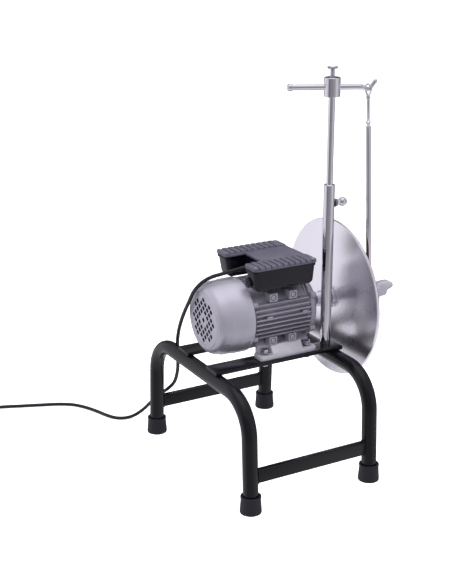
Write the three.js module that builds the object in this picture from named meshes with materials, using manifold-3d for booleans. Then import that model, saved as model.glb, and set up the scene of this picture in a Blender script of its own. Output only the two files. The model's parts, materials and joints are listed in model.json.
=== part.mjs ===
// Shearing-blade grinder: a capacitor motor on a bent-tube stand turns a 300 mm grinding disc,
// and a post beside it carries a hanging pendulum with a comb holder in front of the disc.
//
// Millimetres, +Z up. While the pieces are made, Y = 0 is the middle of the front arch, the motor
// shaft runs along Y at X = 0, the working side of the disc faces -Y and the floor is Z = 0.
// "left" is -X, as the operator sees it when facing the disc. The finished group is moved along Y
// so that its origin is under the middle of its own box.

import * as THREE from 'three';
import { mergeVertices } from 'three/addons/utils/BufferGeometryUtils.js';
import Module from 'manifold-3d';

const wasm = await Module();
wasm.setup();

// ---------------------------------------------------------------- driving dimensions
const GAP = 0.3; // clearance between touching pieces

// stand
const TUBE_R = 13.7;
const TUBE_WALL = 1.6;
const ARCH_TOP_Z = 200.6; // middle of the tube
const ARCH_BEND_R = 68;
const ARCH_SPLAY = THREE.MathUtils.degToRad(2.7);
const FOOT_X = 187.2; // where the leg's middle line meets the floor
const ARCH_PITCH = 250; // front arch to rear arch
const CAP_R = 19.5;
const CAP_H = 32;
const CAP_FLOOR = 10;
const CAP_MIDDLE_Z = 20; // where the leg's middle line crosses the cap's own axis
const TOP_RAIL = { x: 54.5, width: 40, thick: 6.6, front: -12, rear: 256 };
const LOW_RAIL = { height: 25, width: 12, wall: 1.5, z: 65 };

// motor
const AXIS_Z = 293.8;
const FOOT_HOLE_X = 56;
const FOOT_HOLES_Y = [57, 147];
const FOOT_THICK = 10;
const FOOT_RIB = { inner: 38, outer: 69, topOuter: 57, top: 244.6 };
const HOUSING = { r: 58, bore: 50, tip: 67, front: 52.3, rear: 171.7 };
const FIN = { pitch: 8.6, half: 1.3, beside: 8, above: 5 };
const PAD = { x: 50, z: 41, depth: 9, halfLength: 8, halfHeight: 7.5, fromBolts: [32, -17] };
const TIE = { turn: THREE.MathUtils.degToRad(30), at: 64, r: 6, length: 9 }; // ears of the tie bolts
const WIRE_HOLE_Y = 100; // from the windings up into the terminal box
const CORE = { outer: 49.6, inner: 34, front: 76, rear: 150 };
const SHAFT_R = 7;
const BEARING = { bore: 7.6, outer: 17.5, thick: 11, front: 26, rear: 178 };
const COVER = { r: 69, wall: 1.6, open: 172, end: 242, face: 53 };
const VENT = { r: 4.2, stepX: 7.25, stepZ: 7.6, field: 38.5, blank: 12 };

// terminal box with its two capacitor lobes
const BOX = { front: 48, rear: 176, bridgeRear: 138, outer: 70, inner: 33, z: 352, lid: 392, top: 400, wall: 2.5 };
const GLAND_Z = 378;

// disc
const DISC_R = 150;
const DISC_BACK = -31.5;
const DISC_FRONT = -37.5;
const GRIT = 1;
const HUB = { flange: 20.5, thick: 7, r: 14, rear: 6 };

// post, head and crossbar
const POST = { x: -48, y: 10, r: 10, bore: 6.3, top: 526.5 };
const ROD_R = 5.8;
const ROD_BOTTOM = 345;
const HEAD = { r: 14.5, bottom: 683.2, top: 716.8 };
const CLAMP_Z = 491;
const WING = { x: 7.2, rise: 5.2, r: 2.7 };
const BAR_Z = 699.6;
const BAR_R = 5.1;
const BAR_TURN = THREE.MathUtils.degToRad(25.4); // from -Y towards -X
const BAR_BACK = 75.3;
const BAR_FRONT = 50;
const HOOK_R = 3.6;
const HOOK_REACH = 63.5; // post to the hook's valley
const HOOK_DROP = 4;

// pendulum, measured down its own leaning axis from the hook's valley
const EYE_WIRE_R = 1.7;
const EYE_TURN = THREE.MathUtils.degToRad(30); // the loop's turn from square across the bar
const SLEEVE_TOP = 11;
const SLEEVE_END = 18;
const RING_DROP = 58.5;
const RING = { major: 3.6, wire: 1.15 };
const THIN_R = 2.7;
const THICK_R = 4.8;
const PIVOT = { x: -80, z: 333, eyeR: 9, eyeFront: -68, eyeBack: -54.8 };

// comb holder
const HOLDER = { back: -46, front: -54.5, halfWidth: 45, top: 345, bottom: 297, corner: 9 };
const MAGNET = { halfWidth: 30, halfHeight: 11, face: -44.6, back: -52 };
const HANDLE = { x: -102, thick: 19, tip: -95 };

// mains lead
const CORD_R = 3.5;
const COIL = { x: 499, y: 551, mean: 39, half: 7 };

// ---------------------------------------------------------------- shape helpers
function solid(geometry) {
  const bare = geometry.clone();
  bare.deleteAttribute('normal');
  bare.deleteAttribute('uv');
  const merged = mergeVertices(bare, 1e-4);
  const index = merged.index.array;
  const kept = [];
  for (let i = 0; i < index.length; i += 3) {
    const [a, b, c] = [index[i], index[i + 1], index[i + 2]];
    if (a !== b && b !== c && c !== a) kept.push(a, b, c);
  }
  const vertProperties = new Float32Array(merged.attributes.position.array);
  return new wasm.Manifold(new wasm.Mesh({ numProp: 3, vertProperties, triVerts: new Uint32Array(kept) }));
}

function geometryOf(body) {
  const mesh = body.getMesh();
  const geometry = new THREE.BufferGeometry();
  geometry.setAttribute('position', new THREE.BufferAttribute(mesh.vertProperties, 3));
  geometry.setIndex(new THREE.BufferAttribute(mesh.triVerts, 1));
  geometry.computeVertexNormals();
  return geometry;
}

function join(...geometries) {
  return geometryOf(geometries.map(solid).reduce((whole, piece) => whole.add(piece)));
}

function cut(geometry, ...tools) {
  return geometryOf(tools.map(solid).reduce((whole, tool) => whole.subtract(tool), solid(geometry)));
}

// A turned solid about Y from [radius, y] points, listed up the outside; closed makes a ring.
function turnY(profile, segments = 18, closed = false) {
  const points = profile.map(([r, y]) => new THREE.Vector2(r, y));
  if (closed) points.push(points[0].clone());
  return new THREE.LatheGeometry(points, segments);
}

function turnZ(profile, segments = 18, closed = false) {
  return turnY(profile, segments, closed).rotateX(Math.PI / 2);
}

function ringY(inner, outer, y0, y1, segments = 18) {
  return turnY([[inner, y0], [outer, y0], [outer, y1], [inner, y1]], segments, true);
}

function rodY(radius, y0, y1, segments = 12) {
  return turnY([[0, y0], [radius, y0], [radius, y1], [0, y1]], segments);
}

function rodZ(radius, z0, z1, segments = 12) {
  return rodY(radius, z0, z1, segments).rotateX(Math.PI / 2);
}

function block(x0, x1, y0, y1, z0, z1) {
  return new THREE.BoxGeometry(x1 - x0, y1 - y0, z1 - z0)
    .translate((x0 + x1) / 2, (y0 + y1) / 2, (z0 + z1) / 2);
}

// Outlines in X,Z pushed along Y; in Y,Z pushed along X; in X,Y pushed along Z.
function prismY(shape, y0, y1, curveSegments = 5) {
  return new THREE.ExtrudeGeometry(shape, { depth: y1 - y0, bevelEnabled: false, curveSegments })
    .rotateX(Math.PI / 2).translate(0, y1, 0);
}

function prismX(shape, x0, x1, curveSegments = 5) {
  const turn = new THREE.Matrix4().makeBasis(
    new THREE.Vector3(0, 1, 0), new THREE.Vector3(0, 0, 1), new THREE.Vector3(1, 0, 0));
  return new THREE.ExtrudeGeometry(shape, { depth: x1 - x0, bevelEnabled: false, curveSegments })
    .applyMatrix4(turn).translate(x0, 0, 0);
}

function prismZ(shape, z0, z1, curveSegments = 5) {
  return new THREE.ExtrudeGeometry(shape, { depth: z1 - z0, bevelEnabled: false, curveSegments })
    .translate(0, 0, z0);
}

// A rectangle with its own radius on the low and the high corners.
function roundedBox(x0, x1, y0, y1, low, high = low) {
  const shape = new THREE.Shape();
  shape.moveTo(x0 + low, y0);
  shape.lineTo(x1 - low, y0);
  shape.absarc(x1 - low, y0 + low, low, -Math.PI / 2, 0, false);
  shape.lineTo(x1, y1 - high);
  shape.absarc(x1 - high, y1 - high, high, 0, Math.PI / 2, false);
  shape.lineTo(x0 + high, y1);
  shape.absarc(x0 + high, y1 - high, high, Math.PI / 2, Math.PI, false);
  shape.lineTo(x0, y0 + low);
  shape.absarc(x0 + low, y0 + low, low, Math.PI, Math.PI * 1.5, false);
  return shape;
}

function polygon(points) {
  return new THREE.Shape(points.map(([x, y]) => new THREE.Vector2(x, y)));
}

function circlePoints(radius, sides) {
  const points = [];
  for (let i = 0; i < sides; i++) {
    const a = i / sides * Math.PI * 2;
    points.push(new THREE.Vector2(radius * Math.cos(a), radius * Math.sin(a)));
  }
  return points;
}

function sweep(curve, radius, sides, steps, bore = 0) {
  const shape = new THREE.Shape(circlePoints(radius, sides));
  if (bore) shape.holes.push(new THREE.Path(circlePoints(bore, sides)));
  return new THREE.ExtrudeGeometry(shape, { steps, extrudePath: curve });
}

function smooth(points) {
  return new THREE.CatmullRomCurve3(points.map((p) => new THREE.Vector3(...p)), false, 'centripetal');
}

function hexagon(acrossFlats) {
  return new THREE.Shape(circlePoints(acrossFlats / Math.sqrt(3), 6));
}

// ---------------------------------------------------------------- finishes
function finish(color, roughness, metalness) {
  return new THREE.MeshStandardMaterial({ color, roughness, metalness });
}

const blackPaint = finish(0x121218, 0.28, 0.1);
const rubber = finish(0x22222a, 0.75, 0);
const castGrey = finish(0x8e8d98, 0.45, 0.7);
const coverGrey = finish(0xa9a7b4, 0.35, 0.7);
const chrome = finish(0xc8c8cc, 0.12, 1);
const aluminium = finish(0xc4c3cf, 0.22, 1);
const steel = finish(0x9a9aa2, 0.35, 0.9);
const darkSteel = finish(0x4a4a50, 0.5, 0.8);
const copper = finish(0xa85a2a, 0.45, 0.8);
const blackPlastic = finish(0x1c1c24, 0.45, 0);
const lidPlastic = finish(0x34343e, 0.5, 0);
const paleCasting = finish(0xb9b7c2, 0.4, 0.4);
const grit = finish(0x5b3a2e, 0.95, 0);
const cordBlack = finish(0x16161c, 0.5, 0);

const machine = new THREE.Group();

function put(name, geometry, material, parent = machine) {
  const mesh = new THREE.Mesh(geometry, material);
  mesh.name = name;
  parent.add(mesh);
  return mesh;
}

// ---------------------------------------------------------------- stand
// One bent tube: splayed leg, bend, level top, bend, leg, measured along its length.
class ArchCurve extends THREE.Curve {
  constructor(y, legBottom) {
    super();
    const centreZ = ARCH_TOP_Z - ARCH_BEND_R;
    this.y = y;
    this.centreX = FOOT_X - (ARCH_BEND_R + centreZ * Math.sin(ARCH_SPLAY)) / Math.cos(ARCH_SPLAY);
    this.centreZ = centreZ;
    const bendZ = centreZ + ARCH_BEND_R * Math.sin(ARCH_SPLAY);
    this.leg = (bendZ - legBottom) / Math.cos(ARCH_SPLAY);
    this.bend = ARCH_BEND_R * (Math.PI / 2 - ARCH_SPLAY);
    this.half = this.leg + this.bend + this.centreX;
  }

  getPoint(t, target = new THREE.Vector3()) {
    const along = t * this.half * 2;
    const side = along < this.half ? -1 : 1;
    const s = Math.min(along, this.half * 2 - along);
    if (s < this.leg) {
      const up = this.leg - s;
      const x = this.centreX + ARCH_BEND_R * Math.cos(ARCH_SPLAY) + up * Math.sin(ARCH_SPLAY);
      const z = this.centreZ + ARCH_BEND_R * Math.sin(ARCH_SPLAY) - up * Math.cos(ARCH_SPLAY);
      return target.set(side * x, this.y, z);
    }
    if (s < this.leg + this.bend) {
      const a = ARCH_SPLAY + (s - this.leg) / ARCH_BEND_R;
      const x = this.centreX + ARCH_BEND_R * Math.cos(a);
      return target.set(side * x, this.y, this.centreZ + ARCH_BEND_R * Math.sin(a));
    }
    return target.set(side * (this.half - s), this.y, ARCH_TOP_Z);
  }
}

function addStand() {
  const arches = [['front_arch', 0], ['rear_arch', ARCH_PITCH]];
  for (const [name, y] of arches) {
    const curve = new ArchCurve(y, CAP_FLOOR + 2);
    put(name, sweep(curve, TUBE_R, 8, 28, TUBE_R - TUBE_WALL), blackPaint);
  }
  const sides = [['left', -1], ['right', 1]];
  const railZ = ARCH_TOP_Z + TUBE_R + GAP;
  for (const [name, side] of sides) {
    const middle = side * TOP_RAIL.x;
    const bar = block(middle - TOP_RAIL.width / 2, middle + TOP_RAIL.width / 2,
      TOP_RAIL.front, TOP_RAIL.rear, railZ, railZ + TOP_RAIL.thick);
    const holes = FOOT_HOLES_Y.map((y) =>
      rodZ(4.4, railZ - 5, railZ + TOP_RAIL.thick + 5, 12).translate(side * FOOT_HOLE_X, y, 0));
    put(`${name}_top_rail`, cut(bar, ...holes), blackPaint);

    const railX = side * (FOOT_X - LOW_RAIL.z * Math.tan(ARCH_SPLAY));
    const section = roundedBox(railX - LOW_RAIL.width / 2, railX + LOW_RAIL.width / 2,
      LOW_RAIL.z - LOW_RAIL.height / 2, LOW_RAIL.z + LOW_RAIL.height / 2, 1.5);
    section.holes.push(roundedBox(railX - LOW_RAIL.width / 2 + LOW_RAIL.wall,
      railX + LOW_RAIL.width / 2 - LOW_RAIL.wall, LOW_RAIL.z - LOW_RAIL.height / 2 + LOW_RAIL.wall,
      LOW_RAIL.z + LOW_RAIL.height / 2 - LOW_RAIL.wall, 0.5));
    put(`${name}_lower_rail`, prismY(section, TUBE_R + GAP, ARCH_PITCH - TUBE_R - GAP, 1), blackPaint);

    for (const [end, y] of [['front', 0], ['rear', ARCH_PITCH]]) {
      const bore = TUBE_R + 0.9;
      const cup = turnZ([[0, 0], [CAP_R, 0], [CAP_R - 2, CAP_H], [bore, CAP_H], [bore, CAP_FLOOR],
        [0, CAP_FLOOR]], 16);
      put(`foot_cap_${end}_${name}`, cup, rubber)
        .position.set(side * (FOOT_X - CAP_MIDDLE_Z * Math.tan(ARCH_SPLAY)), y, 0);
    }
  }
}

// ---------------------------------------------------------------- motor
function fin(side, offset) {
  const reach = Math.sqrt(HOUSING.tip ** 2 - offset ** 2);
  const from = Math.sqrt(HOUSING.r ** 2 - offset ** 2) - 4;
  const [low, high] = side.sign > 0 ? [from, reach] : [-reach, -from];
  return side.across
    ? block(low, high, HOUSING.front + 1, HOUSING.rear - 1, offset - FIN.half, offset + FIN.half)
    : block(offset - FIN.half, offset + FIN.half, HOUSING.front + 1, HOUSING.rear - 1, low, high);
}

function ears(y0, y1) {
  const pieces = [];
  for (const side of [-1, 1]) {
    for (const up of [-1, 1]) {
      pieces.push(rodY(TIE.r, y0, y1, 8)
        .translate(side * TIE.at * Math.cos(TIE.turn), 0, up * TIE.at * Math.sin(TIE.turn)));
    }
  }
  return pieces;
}

function addMotorHousing() {
  const pieces = [rodY(HOUSING.r, HOUSING.front, HOUSING.rear, 28),
    ...ears(HOUSING.rear - TIE.length, HOUSING.rear)];
  const groups = [
    { across: true, sign: 1 }, { across: true, sign: -1 }, { across: false, sign: 1 }, { across: false, sign: -1 },
  ];
  for (const group of groups) {
    const count = group.across ? FIN.beside : FIN.above;
    for (let i = 0; i < count; i++) pieces.push(fin(group, (i - (count - 1) / 2) * FIN.pitch));
  }
  const screwWells = [];
  for (const side of [-1, 1]) {
    for (const up of [-1, 1]) {
      for (let i = 0; i < 2; i++) {
        const y = FOOT_HOLES_Y[i] + PAD.fromBolts[i];
        pieces.push(block(side * PAD.x - PAD.depth, side * PAD.x + PAD.depth, y - PAD.halfLength,
          y + PAD.halfLength, up * PAD.z - PAD.halfHeight, up * PAD.z + PAD.halfHeight));
        screwWells.push(rodZ(4, 0, 8, 8)
          .rotateY(side * Math.PI / 2).translate(side * (PAD.x + 4), y, up * PAD.z));
      }
    }
    for (const y of [66, 141]) {
      pieces.push(block(side * 63.5 - 3, side * 63.5 + 3, y - 6, y + 6, 3.5, 9.5));
    }
  }
  const bore = rodY(HOUSING.bore, HOUSING.front - 5, HOUSING.rear + 5, 20);
  const wireHole = rodZ(6, 40, 80, 10).translate(0, WIRE_HOLE_Y, 0);
  const body = cut(join(...pieces), bore, wireHole, ...screwWells);
  put('motor_housing', body, castGrey).position.z = AXIS_Z;
}

function addStator() {
  put('stator_core', ringY(CORE.inner, CORE.outer, CORE.front, CORE.rear, 20), darkSteel)
    .position.z = AXIS_Z;
  const ends = [['front_winding', CORE.front - GAP - 15], ['rear_winding', CORE.rear + GAP]];
  for (const [name, y] of ends) {
    const coil = turnY([[37, y + 3], [40, y], [46, y], [49, y + 3], [49, y + 15], [37, y + 15]], 16, true);
    put(name, coil, copper).position.z = AXIS_Z;
  }
}

function addEndShields() {
  const seat = BEARING.outer + GAP;
  const frontPocket = BEARING.front - GAP;
  const front = turnY([[8.4, 18], [26, 18], [31, 21], [34, 27], [52, 34], [60, 41], [62, 46],
    [62, HOUSING.front - GAP], [56, HOUSING.front - GAP], [48, 40], [24, 37.6], [seat, 37.6],
    [seat, frontPocket], [8.4, frontPocket]], 20, true);
  put('front_end_shield', join(front, ...ears(HOUSING.front - GAP - TIE.length, HOUSING.front - GAP)), castGrey).position.z = AXIS_Z;

  const rearPocket = BEARING.rear + BEARING.thick + GAP;
  const inner = HOUSING.rear + GAP;
  const rear = turnY([[56, inner], [64, inner], [64, inner + 7], [54, inner + 8], [28, 184],
    [24, 193], [8.4, 193], [8.4, rearPocket], [seat, rearPocket], [seat, 177.6], [26, 177.6],
    [50, inner + 3]], 18, true);
  put('rear_end_shield', rear, castGrey).position.z = AXIS_Z;

  const bearings = [['front_bearing', BEARING.front], ['rear_bearing', BEARING.rear]];
  for (const [name, y] of bearings) {
    put(name, ringY(BEARING.bore, BEARING.outer, y, y + BEARING.thick, 16), steel).position.z = AXIS_Z;
  }
}

function ventTools() {
  const tools = [rodY(VENT.r, COVER.end - 8, COVER.end + 5, 4)];
  const reach = Math.ceil(VENT.field / VENT.stepX);
  for (let i = -reach; i <= reach; i++) {
    for (let j = -reach; j <= reach; j++) {
      const [x, z] = [i * VENT.stepX, j * VENT.stepZ];
      const far = Math.hypot(x, z);
      if ((i + j) % 2 === 0 || far > VENT.field || far < VENT.blank) continue;
      tools.push(rodY(VENT.r, COVER.end - 8, COVER.end + 5, 4).translate(x, 0, z));
    }
  }
  return tools;
}

// A drawn steel cup: straight wall, round shoulder, flat perforated face.
function coverProfile() {
  const shoulder = COVER.r - COVER.face;
  const middle = COVER.end - shoulder;
  const outer = [[COVER.r, COVER.open], [COVER.r, middle]];
  const inner = [];
  for (let i = 1; i <= 4; i++) {
    const a = i / 4 * Math.PI / 2;
    outer.push([COVER.face + shoulder * Math.cos(a), middle + shoulder * Math.sin(a)]);
  }
  for (let i = 3; i >= 0; i--) {
    const a = i / 3 * Math.PI / 2;
    const r = shoulder - COVER.wall;
    inner.push([COVER.face + r * Math.cos(a), middle + r * Math.sin(a)]);
  }
  return [...outer, [0, COVER.end], [0, COVER.end - COVER.wall], ...inner,
    [COVER.r - COVER.wall, COVER.open], [COVER.r, COVER.open]];
}

function addFanCover() {
  const cup = turnY(coverProfile(), 28);
  put('fan_cover', cut(cup, ...ventTools()), coverGrey).position.z = AXIS_Z;
}

function addMotorFeet() {
  const footTop = AXIS_Z - 71 + FOOT_THICK - 0.4;
  const footBase = ARCH_TOP_Z + TUBE_R + TOP_RAIL.thick + GAP * 2;
  for (const [name, side] of [['left', -1], ['right', 1]]) {
    const slabShape = roundedBox(side * FOOT_HOLE_X - 15, side * FOOT_HOLE_X + 14,
      FOOT_HOLES_Y[0] - 14, FOOT_HOLES_Y[1] + 15, 6);
    const slab = prismZ(slabShape, footBase, footTop, 3);
    const ribBase = footTop - 1;
    const ribOutline = [[FOOT_RIB.inner, ribBase], [FOOT_RIB.outer, ribBase], [FOOT_RIB.topOuter, FOOT_RIB.top],
      [FOOT_RIB.inner, FOOT_RIB.top]].map(([x, z]) => [side * x, z]);
    const rib = prismY(polygon(side < 0 ? ribOutline.reverse() : ribOutline),
      FOOT_HOLES_Y[0] + 13, FOOT_HOLES_Y[1] - 11);
    const holes = FOOT_HOLES_Y.map((y) =>
      rodZ(4.4, footBase - 5, footTop + 5, 12).translate(side * FOOT_HOLE_X, y, 0));
    put(`motor_foot_${name}`, cut(join(slab, rib), ...holes), paleCasting);

    for (const [end, y] of [['front', FOOT_HOLES_Y[0]], ['rear', FOOT_HOLES_Y[1]]]) {
      const washerTop = footTop + GAP + 1.6;
      const bolt = join(
        rodZ(4, ARCH_TOP_Z + 7, washerTop, 10),
        rodZ(8, footTop + GAP, washerTop, 12),
        prismZ(hexagon(13), washerTop - 0.2, washerTop + 5.3));
      put(`foot_bolt_${end}_${name}`, bolt, steel).position.set(side * FOOT_HOLE_X, y, 0);
    }
  }
}

// ---------------------------------------------------------------- terminal box
function lobe(side, inset, z0, z1, y0, y1) {
  const xs = [side * (BOX.outer - inset), side * (BOX.inner + inset)].sort((a, b) => a - b);
  return prismY(roundedBox(xs[0], xs[1], z0, z1, 13 - inset * 2, 1.5), y0, y1, 4);
}

function addTerminalBox() {
  const wall = BOX.wall;
  const bridgeLow = AXIS_Z + HOUSING.tip + GAP * 2;
  const shell = join(
    lobe(-1, 0, BOX.z, BOX.lid, BOX.front, BOX.rear),
    lobe(1, 0, BOX.z, BOX.lid, BOX.front, BOX.rear),
    block(-BOX.inner - 4, BOX.inner + 4, BOX.front, BOX.bridgeRear, bridgeLow, BOX.lid));
  const hollows = [
    lobe(-1, wall, BOX.z + wall, BOX.lid + 9, BOX.front + wall, BOX.rear - wall),
    lobe(1, wall, BOX.z + wall, BOX.lid + 9, BOX.front + wall, BOX.rear - wall),
    block(-BOX.inner - 7, BOX.inner + 7, BOX.front + wall, BOX.bridgeRear - wall,
      bridgeLow + wall, BOX.lid + 5),
    rodZ(6, bridgeLow - 5, bridgeLow + 6, 10).translate(0, WIRE_HOLE_Y, 0),
    rodY(7.4, BOX.bridgeRear - 6, BOX.bridgeRear + 6, 12).translate(0, 0, GLAND_Z),
  ];
  put('capacitor_box', cut(shell, ...hollows), blackPlastic);

  const lidSide = BOX.outer + 1.5;
  const lidShape = polygon([
    [-lidSide, BOX.front - 1.5], [lidSide, BOX.front - 1.5], [lidSide, BOX.rear + 1.5],
    [BOX.inner, BOX.rear + 1.5], [BOX.inner, BOX.bridgeRear + 1], [-BOX.inner, BOX.bridgeRear + 1],
    [-BOX.inner, BOX.rear + 1.5], [-lidSide, BOX.rear + 1.5]]);
  put('box_lid', prismZ(lidShape, BOX.lid + GAP, BOX.top), lidPlastic);

  const middle = (BOX.outer + BOX.inner) / 2;
  const capacitors = [['start_capacitor', -middle, 60, 150], ['run_capacitor', middle, 66, 128]];
  for (const [name, x, y0, y1] of capacitors) {
    put(name, rodY(14.5, y0, y1, 14), aluminium).position.set(x, 0, 371);
  }
  put('terminal_block', block(-22, 22, 74, 94, bridgeLow + wall + GAP, bridgeLow + wall + 14), blackPlastic);

  const y0 = BOX.bridgeRear - BOX.wall - 3;
  const gland = turnY([[CORD_R + GAP, y0], [7, y0], [7, BOX.bridgeRear + GAP], [9, BOX.bridgeRear + GAP],
    [9, BOX.bridgeRear + 6], [7.2, BOX.bridgeRear + 8], [6.4, BOX.bridgeRear + 9],
    [4.9, BOX.bridgeRear + 30], [CORD_R + GAP, BOX.bridgeRear + 30]], 12, true);
  put('cable_gland', gland, cordBlack).position.z = GLAND_Z;
}

// ---------------------------------------------------------------- rotor and disc
function addRotor() {
  const core = CORE.inner - 0.6;
  const bearingSeat = BEARING.bore - GAP;
  const tapped = DISC_FRONT + 20;
  const shaft = turnY([[0, tapped], [3.4, tapped], [3.4, DISC_FRONT + 3.4], [SHAFT_R, DISC_FRONT + 3.4],
    [SHAFT_R, 20], [bearingSeat, 20], [bearingSeat, 40], [9.4, 42], [9.4, 174], [bearingSeat, 176],
    [bearingSeat, 194], [6, 195], [6, 214], [0, 214]], 14);
  put('rotor_shaft', shaft, steel).position.z = AXIS_Z;
  put('rotor_core', ringY(9.4 + GAP, core, CORE.front, CORE.rear, 20), darkSteel).position.z = AXIS_Z;
  put('centrifugal_switch', turnY([[9.7, 152], [20, 152], [22, 155], [14, 164], [9.7, 164]], 14, true),
    steel).position.z = AXIS_Z;

  const hub = ringY(6.3, 14, 197, 213, 12);
  const blades = [];
  for (let i = 0; i < 8; i++) {
    blades.push(block(10, 55, 197, 212, -1.2, 1.2).rotateY(i * Math.PI / 4));
  }
  const plate = ringY(6.3, 40, 197, 199, 16);
  const bore = rodY(6.3, 190, 220, 12);
  put('cooling_fan', cut(join(hub, plate, ...blades), bore), blackPlastic).position.z = AXIS_Z;

  const hubFront = DISC_BACK + GAP;
  const discHub = turnY([[SHAFT_R + GAP, hubFront], [HUB.flange, hubFront], [HUB.flange, hubFront + HUB.thick],
    [HUB.r + 1, hubFront + HUB.thick + 1.5], [HUB.r, HUB.rear], [SHAFT_R + GAP, HUB.rear]], 20, true);
  put('disc_hub', discHub, aluminium).position.z = AXIS_Z;

  const pocket = DISC_FRONT + 3;
  const disc = turnY([[SHAFT_R + GAP, pocket], [16, pocket], [16, DISC_FRONT], [DISC_R, DISC_FRONT],
    [DISC_R, DISC_BACK], [SHAFT_R + GAP, DISC_BACK]], 48, true);
  put('grinding_disc', disc, aluminium).position.z = AXIS_Z;
  put('abrasive_sheet', ringY(18, DISC_R - 1.5, DISC_FRONT - GAP - GRIT, DISC_FRONT - GAP, 48), grit)
    .position.z = AXIS_Z;
  const bolt = turnY([[0, DISC_FRONT - 1], [5, DISC_FRONT - 1], [15.6, DISC_FRONT + 0.2],
    [15.6, pocket - GAP], [3.1, pocket - GAP], [3.1, tapped - 2], [0, tapped - 2]], 12);
  put('disc_bolt', bolt, steel).position.z = AXIS_Z;
}

// ---------------------------------------------------------------- post, head and crossbar
function addPost() {
  const base = ARCH_TOP_Z + TUBE_R + TOP_RAIL.thick + GAP * 2;
  const tube = turnZ([[POST.bore, base], [POST.r, base], [POST.r, POST.top - 1], [POST.r - 1, POST.top],
    [POST.bore, POST.top]], 16, true);
  const screwHole = rodY(3.4, -POST.r - 5, 0, 10).translate(0, 0, CLAMP_Z);
  put('post_tube', cut(tube, screwHole), chrome).position.set(POST.x, POST.y, 0);

  const nutBack = -POST.r - GAP;
  const nut = cut(prismY(hexagon(14), nutBack - 4, nutBack), rodY(3.4, nutBack - 9, nutBack + 5, 10));
  put('clamp_nut', nut, darkSteel).position.set(POST.x, POST.y, CLAMP_Z);

  const nutFace = nutBack - 4 - GAP;
  const knob = turnY([[0, nutFace - 23], [5, nutFace - 22], [8.2, nutFace - 17], [8.2, nutFace - 13],
    [4.2, nutFace - 8], [4.6, nutFace - 5], [6.6, nutFace - 3], [6.6, nutFace], [3, nutFace],
    [3, -ROD_R - GAP], [0, -ROD_R - GAP]], 14);
  put('height_clamp_screw', knob, chrome).position.set(POST.x, POST.y, CLAMP_Z);

  put('post_rod', rodZ(ROD_R, ROD_BOTTOM, HEAD.bottom + 10, 16), chrome).position.set(POST.x, POST.y, 0);
}

// The head and all that it carries are made looking along -Y and then turned with the crossbar.
const head = new THREE.Group();
head.position.set(POST.x, POST.y, 0);
head.rotation.z = -BAR_TURN;

function addHead() {
  const body = turnZ([[0, HEAD.bottom], [HEAD.r - 1, HEAD.bottom], [HEAD.r, HEAD.bottom + 1],
    [HEAD.r, HEAD.top - 1], [HEAD.r - 1, HEAD.top], [0, HEAD.top]], 18);
  const rodBore = rodZ(ROD_R + GAP * 2, HEAD.bottom - 5, HEAD.bottom + 10 + GAP, 16);
  const barBore = rodY(BAR_R + GAP, -30, 30, 16).translate(0, 0, BAR_Z);
  const screwBore = rodZ(4.3, BAR_Z, HEAD.top + 5, 10);
  put('head_block', cut(body, rodBore, barBore, screwBore), chrome, head);

  const bar = rodY(BAR_R, -BAR_FRONT, BAR_BACK, 16);
  const hook = sweep(smooth([[0, -BAR_FRONT + 6, 0], [0, -BAR_FRONT - 1, 0], [0, -BAR_FRONT - 6, -1.9],
    [0, -HOOK_REACH, -HOOK_DROP], [0, -HOOK_REACH - 4.5, -0.9], [0, -HOOK_REACH - 12.5, 9.2]]),
  HOOK_R, 8, 10);
  put('crossbar', join(bar, hook), chrome, head).position.z = BAR_Z;

  const cap = turnY([[0, BAR_BACK + GAP], [BAR_R + GAP, BAR_BACK + GAP], [BAR_R + GAP, BAR_BACK - 5],
    [6.6, BAR_BACK - 5], [6.6, BAR_BACK + 2], [5.6, BAR_BACK + 3], [0, BAR_BACK + 3]], 16);
  put('crossbar_cap', cap, chrome, head).position.z = BAR_Z;

  const stem = rodZ(3.9, BAR_Z + BAR_R + GAP, HEAD.top + 15, 14);
  const collar = turnZ([[0, HEAD.top + 11], [5.5, HEAD.top + 12], [5, HEAD.top + 17], [0, HEAD.top + 17.5]], 14);
  const wings = new THREE.Shape();
  const wingZ = HEAD.top + 12;
  wings.moveTo(0, wingZ);
  wings.quadraticCurveTo(4, wingZ + 0.5, WING.x, wingZ + WING.rise - WING.r);
  wings.absarc(WING.x, wingZ + WING.rise, WING.r, -Math.PI / 2, Math.PI * 0.6, false);
  wings.quadraticCurveTo(3, wingZ + 4.5, 0, wingZ + 4.5);
  wings.quadraticCurveTo(-3, wingZ + 4.5, -WING.x + 0.9, wingZ + WING.rise + WING.r - 0.1);
  wings.absarc(-WING.x, wingZ + WING.rise, WING.r, Math.PI * 0.4, Math.PI * 1.5, false);
  wings.quadraticCurveTo(-4, wingZ + 0.5, 0, wingZ);
  put('wing_screw', join(stem, collar, prismY(wings, -2, 2, 3)), steel, head);
}

// ---------------------------------------------------------------- pendulum and comb holder
const valley = new THREE.Vector3(0, -HOOK_REACH, BAR_Z - HOOK_DROP)
  .applyAxisAngle(new THREE.Vector3(0, 0, 1), -BAR_TURN).add(new THREE.Vector3(POST.x, POST.y, 0));
const rodEnd = new THREE.Vector3(PIVOT.x, (PIVOT.eyeFront + PIVOT.eyeBack) / 2, PIVOT.z + PIVOT.eyeR);
const pendulum = new THREE.Group();
pendulum.position.copy(valley);
pendulum.quaternion.setFromUnitVectors(
  new THREE.Vector3(0, 0, -1), rodEnd.clone().sub(valley).normalize());

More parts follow.
